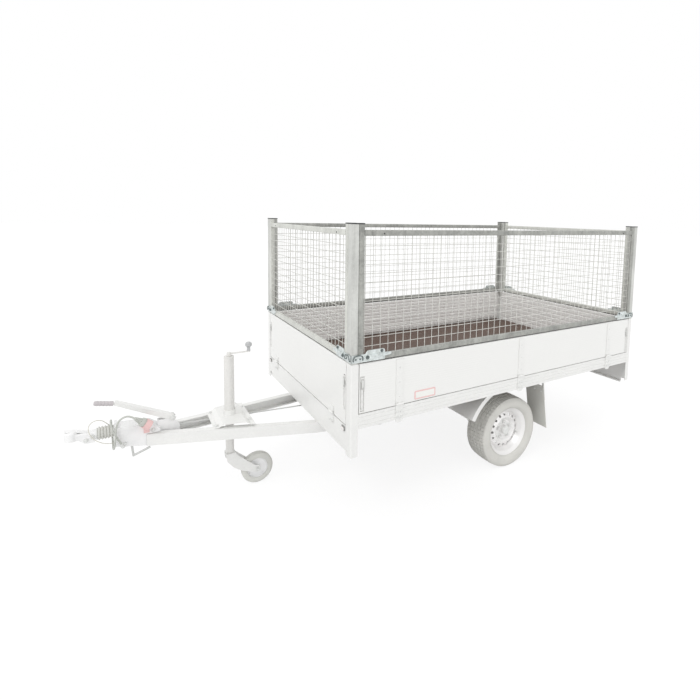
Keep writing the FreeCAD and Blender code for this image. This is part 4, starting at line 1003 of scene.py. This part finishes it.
FITTING_PLATE = 0.0027
LONG_ARM = 0.208
SHORT_ARM = 0.195
POST_LOOP = ((0.013, 0.012, 0.000), (0.013, 0.012, 0.007), (0.013, 0.024, 0.0085), (0.019, 0.036, 0.009),
             (0.032, 0.040, 0.009), (0.052, 0.040, 0.009), (0.064, 0.036, 0.009), (0.069, 0.025, 0.0085),
             (0.069, 0.013, 0.007), (0.069, 0.013, 0.000))


def fitting_arm(origin, along, outward, length):
    """One arm of a fitting, in two shapes: a stepped plate with lever and lip; a loop, bolts and rivets."""
    along, outward = arrays(along, outward)

    def at(run, rise, off=0.0):
        return origin + run * along + rise * UP + off * outward

    plate = [(0.0, 0.0), (length, 0.0), (length, 0.050), (length - 0.004, 0.058), (length - 0.012, 0.062),
             (0.104, 0.062), (0.096, 0.059), (0.088, 0.047), (0.080, 0.044), (0.0, 0.044)]
    lever = [(0.084, 0.012), (0.098, 0.009), (length + 0.030, 0.022), (length + 0.038, 0.025),
             (length + 0.040, 0.030), (length + 0.038, 0.036), (length + 0.030, 0.038), (0.100, 0.038),
             (0.086, 0.032), (0.081, 0.022)]
    lip = (at(0.125, 0.0365, 0.0045), at(length + 0.020, 0.0375, 0.0045))
    sheets = [slab(plate, origin, along, outward, FITTING_PLATE, 0.0005),
              slab(lever, at(0, 0, FITTING_PLATE), along, outward, 0.0032, 0.0006),
              bar(*lip, outward, 0.0065, 0.0024, 0.0008)]
    locks = [bolt(at(0.098, 0.024, FITTING_PLATE + 0.003), outward, 0.012),
             bolt(at(length - 0.020, 0.050, FITTING_PLATE), outward, 0.010),
             bent_rod(smooth_line([at(*point) for point in POST_LOOP], 3), 0.0026, 8)]
    locks += [rivet(at(run, 0.020, FITTING_PLATE), outward, 0.0055) for run in (0.028, 0.054)]
    return merged(sheets), merged(locks)


def scaled_parts(shape, factors):
    """A shape with its points times the factors; where those mirror it, its faces are turned over."""
    points, faces = shape
    mirrored = np.prod(factors) < 0
    return points * factors, [corners[:, ::-1] if mirrored else corners for corners in faces]


class TRAILER_OT_corners(bpy.types.Operator):
    """Builds the plated fittings that lock the panels together at the four corner posts"""
    bl_idname = "trailer.corners"
    bl_label = "Corner fittings"

    def execute(self, context):
        post = corners_of("corner_posts")[1]
        seat = 0.0003
        foot = corners_of("corner_fittings")[0][2]
        corner = np.array([post[0] - BED_MIDDLE + seat, post[1] + seat, foot])
        side_arm = fitting_arm(corner + (FITTING_PLATE, 0.0, 0.0), (-1, 0, 0), (0, 1, 0), LONG_ARM)
        end_arm = fitting_arm(corner + (0.0, FITTING_PLATE, 0.0), (0, -1, 0), (1, 0, 0), SHORT_ARM)
        # The loops, bolts and rivets take the darker finish, which holds painted shade.
        for part, name, finish in ((0, "cage_fittings", "fitting"), (1, "cage_locks", "lock")):
            one = merged([side_arm[part], end_arm[part]])
            shapes = []
            for x, y in ((1, 1), (1, -1), (-1, 1), (-1, -1)):
                points, faces = scaled_parts(one, (x, y, 1))
                shapes.append((points + (BED_MIDDLE, 0.0, 0.0), faces))
            add_piece(name, merged(shapes), finish, replaces=("corner_fittings",))
        return {"FINISHED"}


# Boards

STRAP_PLACES = (BED_MIDDLE - 0.975, BED_MIDDLE, BED_MIDDLE + 0.975)
STRAP_RIVETS = [(x, level) for x in STRAP_PLACES for level in (0.735, 0.820, 0.905)]
LEAF_PLACES = [x + step for x in STRAP_PLACES for step in (-0.012, 0.012)]
STRAP_LEAVES = [(x, level) for x in LEAF_PLACES for level in (0.612, 0.645)]
END_STRAPS = [y + step for y in (-0.540, 0.540) for step in (-0.015, 0.015)]
END_RIVETS = [(y, 0.636) for y in END_STRAPS]
END_LEAVES = [(y, 0.566) for y in END_STRAPS]
LATCH_INSET = 0.018
LATCH_FOOT = 0.688
LATCH_HEAD = 0.878
PLAIN_PLATE = (0.150, 0.716)


def latch(place, outward, along):
    """Latch on a board's end: a dark grip plate near its top, a lever over it and rivets below."""
    pad = rounded_rectangle(0.016, 0.062, 0.005)
    tab = rounded_rectangle(0.010, 0.040, 0.0035)
    thickness = 0.0016
    grip = slab(pad, place + 0.158 * UP, along, outward, thickness, 0.0004)
    lever = slab(tab, place + 0.160 * UP + thickness * outward, along, outward, 0.0040, 0.0010)
    heads = [rivet(place + rise * UP, outward, 0.0045) for rise in (0.016, 0.060, 0.104)]
    return grip, merged([lever] + heads)


class TRAILER_OT_boards(bpy.types.Operator):
    """Adds the boards' latch grips, their straps' rivets and the plain red plate"""
    bl_idname = "trailer.boards"
    bl_label = "Boards"

    def execute(self, context):
        for side, outward in (("left", (0, 1, 0)), ("right", (0, -1, 0))):
            self.dress(side, outward, STRAP_RIVETS, 0.0050)
        for side, outward in (("front", (1, 0, 0)), ("rear", (-1, 0, 0))):
            self.dress(side, outward, END_RIVETS, 0.0055)
        self.add_plate()
        return {"FINISHED"}

    def dress(self, side, outward, spots, radius):
        """Rivets on a board's straps, and a latch near each of its ends."""
        outward = np.array(outward, float)
        along = np.abs(np.cross(outward, UP))
        node = "fittings_" + side
        low, high = corners_of("board_" + side) @ along
        heads = [on_skin(node, beyond(outward, *spot), -outward) for spot in spots]
        shapes = [rivet(head, outward, radius) for head in heads]
        grips = []
        for end in (low + LATCH_INSET, high - LATCH_INSET):
            place = on_skin(node, beyond(outward, end, LATCH_HEAD), -outward)
            place[2] = LATCH_FOOT
            grip, lever = latch(place, outward, along)
            grips.append(grip)
            shapes.append(lever)
        add_piece("latch_grips_" + side, merged(grips), "dark", "board_" + side)
        add_zinc("board_trim_" + side, shapes, "board_" + side)

    def add_plate(self):
        """A plain plate on the left board: a red rim round a blank pale field."""
        outward = np.array([0.0, 1.0, 0.0])
        place = on_skin("board_left", beyond(outward, *PLAIN_PLATE), -outward)
        along = (1, 0, 0)
        rim = slab(rounded_rectangle(0.150, 0.052, 0.008), place, along, outward, 0.0018, 0.0005)
        middle = place + 0.0014 * outward
        field = slab(rounded_rectangle(0.134, 0.036, 0.004), middle, along, outward, 0.0008, 0.0002)
        add_piece("plain_plate_rim", rim, "red", "board_left")
        add_piece("plain_plate_field", field, "plate", "board_left")


# Lamps and number plate

REAR_LAMP = (0.585, 0.492)
MARKER_LAMP = (0.702, 0.579)
HOUSING_DEPTH = 0.007
LENS_DEPTH = 0.0045
MARKER_DEPTH = 0.006
LENS_ROW = ((0.078, 0.062, "amber"), (0.000, 0.086, "red"), (-0.078, 0.062, "red"))


def lamp_slab(place, side, ahead, size, radius, thickness, bevel, steps=4):
    """A rounded slab of a width and height that faces ahead, or back where that is -1."""
    outline = rounded_rectangle(*size, radius, steps)
    return slab(outline, place, (0, side, 0), (ahead, 0, 0), thickness, bevel)


class TRAILER_OT_lamps(bpy.types.Operator):
    """Builds the rear lamps with their lenses, the front marker lamps and the number plate's rim"""
    bl_idname = "trailer.lamps"
    bl_label = "Lamps"

    def execute(self, context):
        housings, screws = [], []
        lenses = {"red": [], "amber": [], "clear": []}
        low, high = corners_of("lamps")
        for side in (1, -1):
            centre = np.array([low[0] + 0.006, side * REAR_LAMP[0], REAR_LAMP[1]])
            housings.append(lamp_slab(centre, side, -1, (0.230, 0.104), 0.014, HOUSING_DEPTH, 0.0015, 5))
            face = centre - (HOUSING_DEPTH, 0.0, 0.0)
            for shift, width, colour in LENS_ROW:
                place = face + (0.0, side * shift, 0.0)
                lenses[colour].append(lamp_slab(place, side, -1, (width, 0.090), 0.008, LENS_DEPTH, 0.0015))
            front = face - (LENS_DEPTH, 0.0, 0.0)
            screws += [rivet(front + rise * UP, (-1, 0, 0), 0.0035) for rise in (-0.032, 0.032)]
            place = np.array([high[0] - 0.012, side * MARKER_LAMP[0], MARKER_LAMP[1]])
            housings.append(lamp_slab(place, side, 1, (0.040, 0.026), 0.006, MARKER_DEPTH, 0.001))
            face = place + (MARKER_DEPTH, 0.0, 0.0)
            lenses["clear"].append(lamp_slab(face, side, 1, (0.034, 0.020), 0.005, MARKER_DEPTH, 0.0025))
        add_piece("lamp_housings", merged(housings), "lamp", replaces=("lamps",))
        for colour, shapes in lenses.items():
            add_piece("lamp_lenses_" + colour, merged(shapes), "lens_" + colour)
        add_zinc("lamp_screws", screws)
        self.frame_plate()
        return {"FINISHED"}

    def frame_plate(self):
        """Rim round the blank number plate: a bar along each of its four sides, and two screws."""
        low, high = corners_of("number_plate")
        face = low[0]
        section = (0.008, 0.005, 0.0015)
        left, right = low[1] - 0.004, high[1] + 0.004
        shapes = [bar((face, left, z), (face, right, z), UP, *section) for z in (low[2], high[2])]
        shapes += [bar((face, y, low[2]), (face, y, high[2]), (0, 1, 0), *section) for y in (low[1], high[1])]
        add_piece("plate_rim", merged(shapes), "dark")
        height = (low[2] + high[2]) / 2
        add_zinc("plate_screws", [rivet((face, y, height), (-1, 0, 0), 0.005) for y in (-0.210, 0.210)])


# Wheels

TYRE_RADIUS = 0.250
TREAD_REACH = 0.0755
TREAD_GROOVES = (-0.0510, -0.0170, 0.0170, 0.0510)
GROOVE = ((-0.0050, 0.0), (-0.0038, 1.0), (0.0038, 1.0), (0.0050, 0.0))
TREAD_EDGE = (0.0850, 0.0755, 0.0660)
PITCH_STATIONS = (0.0, 0.03, 0.13, 0.16, 0.44, 0.72)
PITCH_SLITS = (0.0, 1.0, 1.0, 0.0, 0.0, 0.0)
SLIT_SHARE = 0.85
SLANT = 0.30
CROWN_DROP = 0.0034
WALL_RINGS = ((0.1860, 0.1905), (0.2235, 0.2280))
RING_RISE = 0.0009
TYRE_WALL = ((0.1535, 0.0560), (0.1590, 0.0660), (0.1680, 0.0712), (0.1712, 0.0768), (0.1780, 0.0850),
             (0.1900, 0.0925), (0.2060, 0.0962), (0.2210, 0.0958), (0.2330, 0.0925), (0.2410, 0.0880))
TYRE_LINING = ((0.1535, -0.0460), (0.1760, -0.0700), (0.2000, -0.0860), (0.2280, -0.0840), (0.2385, -0.0600))
HUB_CAP = ((0.0, 0.036), (0.0305, 0.036), (0.0325, 0.039), (0.0325, 0.044), (0.0300, 0.046), (0.0290, 0.056),
           (0.0240, 0.0600), (0.0120, 0.0620), (0.0, 0.0625))
NUT_SEAT = ((0.0105, -0.001), (0.0165, -0.001), (0.0150, 0.0030), (0.0105, 0.0040))
NUT_CROWN = ((0.0, 0.017), (0.0078, 0.017), (0.0078, 0.0205), (0.0050, 0.0225), (0.0, 0.0225))
VALVE = ((0.0, 0.0), (0.0075, 0.0), (0.0070, 0.006), (0.0045, 0.009), (0.0045, 0.028), (0.0052, 0.0285),
         (0.0052, 0.038), (0.0040, 0.0395), (0.0, 0.0395))
NUTS = 5
NUT_CIRCLE = 0.056
NUT_FACE = 0.022
VALVE_CIRCLE = 0.1290
VALVE_ANGLE = math.radians(200)


def tread_rows():
    """Distances across the tread, each with its share of the grooves' depth, from shoulder to shoulder."""
    rows = [(-y, 0.0) for y in TREAD_EDGE]
    for centre in TREAD_GROOVES:
        rows += [(centre + step, depth) for step, depth in GROOVE]
    return np.array(rows + [(y, 0.0) for y in reversed(TREAD_EDGE)])


def tyre_outline():
    """Closed outline of (radius, across, share of the grooves' depth): left wall, tread, right wall, lining.
    With it come the tread's first point in it, and the numbers of points on the tread and the lining."""
    wall = smooth_line(TYRE_WALL, 3)
    ringed = sum((wall[:, 0] > inner) & (wall[:, 0] < outer) for inner, outer in WALL_RINGS)
    left = np.column_stack([wall[:, 0], wall[:, 1] + RING_RISE * ringed, np.zeros(len(wall))])
    tread = tread_rows()
    crown = TYRE_RADIUS - CROWN_DROP * (np.abs(tread[:, 0]) / TREAD_REACH) ** 3
    lining = np.column_stack([TYRE_LINING, np.zeros(len(TYRE_LINING))])
    mirror = (1, -1, 1)
    outline = np.concatenate([left, np.column_stack([crown, tread])[::-1], left[::-1] * mirror, lining,
                              lining[::-1] * mirror])
    return outline, len(left), len(tread), 2 * len(lining)


def tyre_skin(centre, outer_radius):
    """Tyre: its outline turned about the axle. The radius loses the tread's depth times the greater share of
    groove and slit, and the angle gains the slant times the distance across."""
    outline, first, tread_points, lining_points = tyre_outline()
    radius, across, groove = (outline * (outer_radius / TYRE_RADIUS, 1, 1)).T
    count = len(outline)
    point = np.arange(count)
    pitches = sizes().tread_pitches
    turn = (np.arange(pitches)[:, None] + PITCH_STATIONS).ravel() / pitches * 2 * np.pi
    cut = np.tile(PITCH_SLITS, pitches)
    on_tread = (point >= first) & (point < first + tread_points)
    on_block = on_tread * (np.abs(across) < TREAD_REACH + 0.002) * (1 - groove)
    shoulder = np.zeros(count)
    shoulder[first - 3:first + 1] = 0.5
    shoulder[first + tread_points - 1:first + tread_points + 3] = 0.5
    depth = np.maximum(groove[:, None], SLIT_SHARE * np.maximum(on_block, shoulder)[:, None] * cut)
    radius = radius[:, None] - sizes().tread_depth * depth
    slant = SLANT * np.where(on_tread, across, np.sign(across) * TREAD_REACH)
    slant[count - lining_points:] = 0.0
    angle = turn + slant[:, None]
    x = centre[0] + radius * np.cos(angle)
    y = centre[1] + np.repeat(across[:, None], len(turn), axis=1)
    z = centre[2] + radius * np.sin(angle)
    return swept(np.stack([x, y, z], axis=-1), ring=True)


class TRAILER_OT_wheels(bpy.types.Operator):
    """Builds the tyres with their tread, and the wheels' nuts, caps and valves"""
    bl_idname = "trailer.wheels"
    bl_label = "Wheels"

    def execute(self, context):
        for side, outward in (("left", 1.0), ("right", -1.0)):
            low, high = corners_of("tyre_" + side)
            centre = (low + high) / 2
            body = "wheel_" + side
            skin = tyre_skin(centre, (high[2] - low[2]) / 2)
            add_piece("road_tyre_" + side, skin, "tyre", body, 32.0, ("tyre_" + side,))
            add_zinc("wheel_trim_" + side, self.trim(centre, np.array([0.0, outward, 0.0])), body)
        return {"FINISHED"}

    def trim(self, centre, axis):
        """Grease cap on the hub, conical seats and crowns of the wheel bolts, and the valve by the rim."""
        shapes = [turned(HUB_CAP, centre, axis, 40)]
        for angle in 2 * np.pi * np.arange(NUTS) / NUTS:
            place = centre + NUT_CIRCLE * np.array([math.sin(angle), 0.0, math.cos(angle)]) + NUT_FACE * axis
            shapes += [turned(NUT_SEAT, place, axis, 24), turned(NUT_CROWN, place, axis, 16)]
        spoke = np.array([math.cos(VALVE_ANGLE), 0.0, math.sin(VALVE_ANGLE)])
        foot = centre + VALVE_CIRCLE * spoke + 0.020 * axis
        return shapes + [turned(VALVE, foot, axis * 0.95 - spoke * 0.31, 16)]


# Drawbar, jockey wheel and underside

GRIP_START = (1.71447, 0.0, 0.68642)
GRIP_RUN = (0.97986, 0.0, 0.19970)
GRIP_HEEL = ((0.0084, 0.0), (0.0125, 0.0), (0.0140, 0.0015), (0.0140, 0.0045))
GRIP_END = ((0.0120, 0.0880), (0.0090, 0.0908), (0.0040, 0.0920), (0.0005, 0.0920), (0.0005, 0.0780),
            (0.0084, 0.0780))
JOCKEY_TYRE = ((0.0645, 0.0205), (0.0700, 0.0222), (0.0800, 0.0236), (0.0880, 0.0236), (0.0940, 0.0215),
               (0.0975, 0.0180), (0.0992, 0.0130), (0.0968, 0.0118), (0.0968, 0.0092), (0.0997, 0.0080),
               (0.1000, 0.0))
BELLOWS_COLLAR = 0.006
COLLAR_RADIUS = 0.0310
BAND = ((0.0309, 0.0), (0.0322, 0.0003), (0.0322, 0.0042), (0.0309, 0.0045))
HOUSING_BOLT = (1.526, 0.512)
HEAD_BOLTS = ((1.813, 0.530), (1.843, 0.514))
CLAMP_BOLTS = ((1.004, 0.110), (1.197, 0.110))
TOP_BOLT = (1.600, 0.0, ABOVE)
LEVER_PIVOT = (1.4245, 0.550)
FLAP_AHEAD = np.array([0.9875, 0.0, -0.1575])
FLAP_HALF_WIDTH = 0.0875
FLAP_BOLT_DROP = 0.045
FLAP_BOLT_STEPS = (-0.062, 0.0, 0.062)


def bellows_skin():
    """Rubber bellows: radius 28.5 mm plus 8.5 mm times (0.5 - 0.5 cos) to the power 0.7, five waves long."""
    low, high = corners_of("bellows")
    length = high[0] - low[0]
    waves = 5
    run = np.linspace(0, 1, waves * 12 + 1)
    radius = 0.0285 + 0.0085 * (0.5 - 0.5 * np.cos(2 * np.pi * waves * run)) ** 0.7
    folds = np.stack([radius, BELLOWS_COLLAR + run * (length - 2 * BELLOWS_COLLAR)], axis=1)
    bore = 0.0215
    collar = np.array([(bore, 0.0), (COLLAR_RADIUS, 0.0), (COLLAR_RADIUS, BELLOWS_COLLAR - 0.0005)])
    far_collar = (0, length) + collar[::-1] * (1, -1)
    profile = np.concatenate([collar, folds, far_collar])
    return turned(profile, (low[0], 0.0, (low[2] + high[2]) / 2), (1, 0, 0), 48)


def grip_skin():
    """Hand grip: radius 13 mm with five finger rings, a cosine wave of 0.8 mm, and a domed hollow end."""
    run = np.linspace(0.006, 0.084, 40)
    radius = 0.0130 - 0.0008 * np.cos(2 * np.pi * 5 * (run - 0.006) / 0.078)
    profile = np.concatenate([GRIP_HEEL, np.stack([radius, run], axis=1), GRIP_END])
    return turned(profile, GRIP_START, GRIP_RUN, 36)


def jockey_tyre_skin(centre):
    """Solid tyre of the jockey wheel: rounded shoulders, two grooves in its crown, walls along the rim."""
    left = np.array(JOCKEY_TYRE)
    return turned(np.concatenate([left, left[-2::-1] * (1, -1)]), centre, (0, 1, 0), 96)


class TRAILER_OT_drawbar(bpy.types.Operator):
    """Builds the bellows, grip and jockey tyre, and the bolts of the drawbar, hinge leaves and mudflaps"""
    bl_idname = "trailer.drawbar"
    bl_label = "Drawbar"

    def execute(self, context):
        add_piece("draw_bellows", bellows_skin(), "rubber", "frame", 60.0, ("bellows",))
        add_piece("hand_grip", grip_skin(), "grip", "brake_lever", 50.0, ("lever_grip",))
        centre = sum(corners_of("jockey_tyre")) / 2
        skin = jockey_tyre_skin(centre)
        add_piece("jockey_solid_tyre", skin, "rubber", "jockey_wheel", 40.0, ("jockey_tyre",))
        self.add_bands()
        self.add_bolts()
        self.add_leaf_bolts()
        self.add_flap_bolts()
        nuts = []
        for side in (1, -1):
            nuts += side_bolts("jockey_fork", (0, side, 0), [(centre[0], centre[2])], 0.015)
        add_zinc("jockey_axle_nuts", nuts, "jockey_caster")
        return {"FINISHED"}

    def add_bands(self):
        """Clip bands round the bellows' two collars."""
        low, high = corners_of("bellows")
        height = (low[2] + high[2]) / 2
        ends = (low[0] + 0.0008, high[0] - 0.0053)
        add_zinc("bellows_bands", [turned(BAND, (x, 0.0, height), (1, 0, 0), 40) for x in ends])

    def add_bolts(self):
        """Bolts of the overrun housing, coupling head and jockey clamp, and the heads of the lever's pin."""
        shapes = []
        for side in (1, -1):
            outward = (0, side, 0)
            shapes += side_bolts("overrun_housing", outward, [HOUSING_BOLT], 0.013)
            shapes += side_bolts("coupling_head", outward, HEAD_BOLTS, 0.013)
            shapes += bolts_on("clamp_bridge", [(x, side * y, ABOVE) for x, y in CLAMP_BOLTS], -UP, 0.015)
        shapes += bolts_on("overrun_housing", [TOP_BOLT], -UP, 0.010, False)
        add_zinc("drawbar_bolts", shapes)
        x, z = LEVER_PIVOT
        face = corners_of("brake_lever")[1][1]
        pins = [bolt((x, side * face, z), (0, side, 0), 0.017) for side in (1, -1)]
        add_zinc("lever_pin_heads", pins, "brake_lever")

    def add_leaf_bolts(self):
        """Bolts that hold the boards' hinge leaves to the frame."""
        shapes = []
        for side in (1, -1):
            for outward, spots in (((0, side, 0), STRAP_LEAVES), ((side, 0, 0), END_LEAVES)):
                shapes += side_bolts("hinge_leaves", outward, spots, 0.012, False)
        add_zinc("leaf_bolts", shapes)

    def add_flap_bolts(self):
        """Bolts that hold each mudflap to its hanger, square to the leaning flap."""
        high = corners_of("mudflaps")[1]
        away = 0.3 * FLAP_AHEAD
        shapes = []
        for side in (1, -1):
            top = np.array([high[0], side * (high[1] - FLAP_HALF_WIDTH), high[2] - FLAP_BOLT_DROP])
            row = [top + (0.0, step, 0.0) + away for step in FLAP_BOLT_STEPS]
            shapes += bolts_on("mudflaps", row, -FLAP_AHEAD, 0.010)
        add_zinc("flap_bolts", shapes)


class TRAILER_PT_panel(bpy.types.Panel):
    """Lists the trailer's steps in the 3D view's sidebar"""
    bl_idname = "TRAILER_PT_panel"
    bl_label = "Trailer"
    bl_space_type = "VIEW_3D"
    bl_region_type = "UI"
    bl_category = "Trailer"

    def draw(self, context):
        column = self.layout.column()
        for step in STEPS:
            column.operator(step.bl_idname)
        for group in (context.scene.trailer_sizes, context.scene.trailer_colours):
            for label in group.bl_rna.properties.keys():
                if label not in ("rna_type", "name"):
                    column.prop(group, label)


STEPS = (TRAILER_OT_finishes, TRAILER_OT_stage, TRAILER_OT_cords, TRAILER_OT_cage, TRAILER_OT_corners,
         TRAILER_OT_boards, TRAILER_OT_lamps, TRAILER_OT_wheels, TRAILER_OT_drawbar)
CLASSES = (TrailerSizes, TrailerColours) + STEPS + (TRAILER_PT_panel,)


def register():
    for kind in CLASSES:
        bpy.utils.register_class(kind)
    bpy.types.Scene.trailer_sizes = bpy.props.PointerProperty(type=TrailerSizes)
    bpy.types.Scene.trailer_colours = bpy.props.PointerProperty(type=TrailerColours)


def unregister():
    del bpy.types.Scene.trailer_colours
    del bpy.types.Scene.trailer_sizes
    for kind in reversed(CLASSES):
        bpy.utils.unregister_class(kind)


def main():
    register()
    bpy.ops.trailer.finishes()
    bpy.ops.trailer.stage()
    bpy.ops.trailer.cords()
    bpy.ops.trailer.cage()
    bpy.ops.trailer.corners()
    bpy.ops.trailer.boards()
    bpy.ops.trailer.lamps()
    bpy.ops.trailer.wheels()
    bpy.ops.trailer.drawbar()


if __name__ == "__main__":
    main()
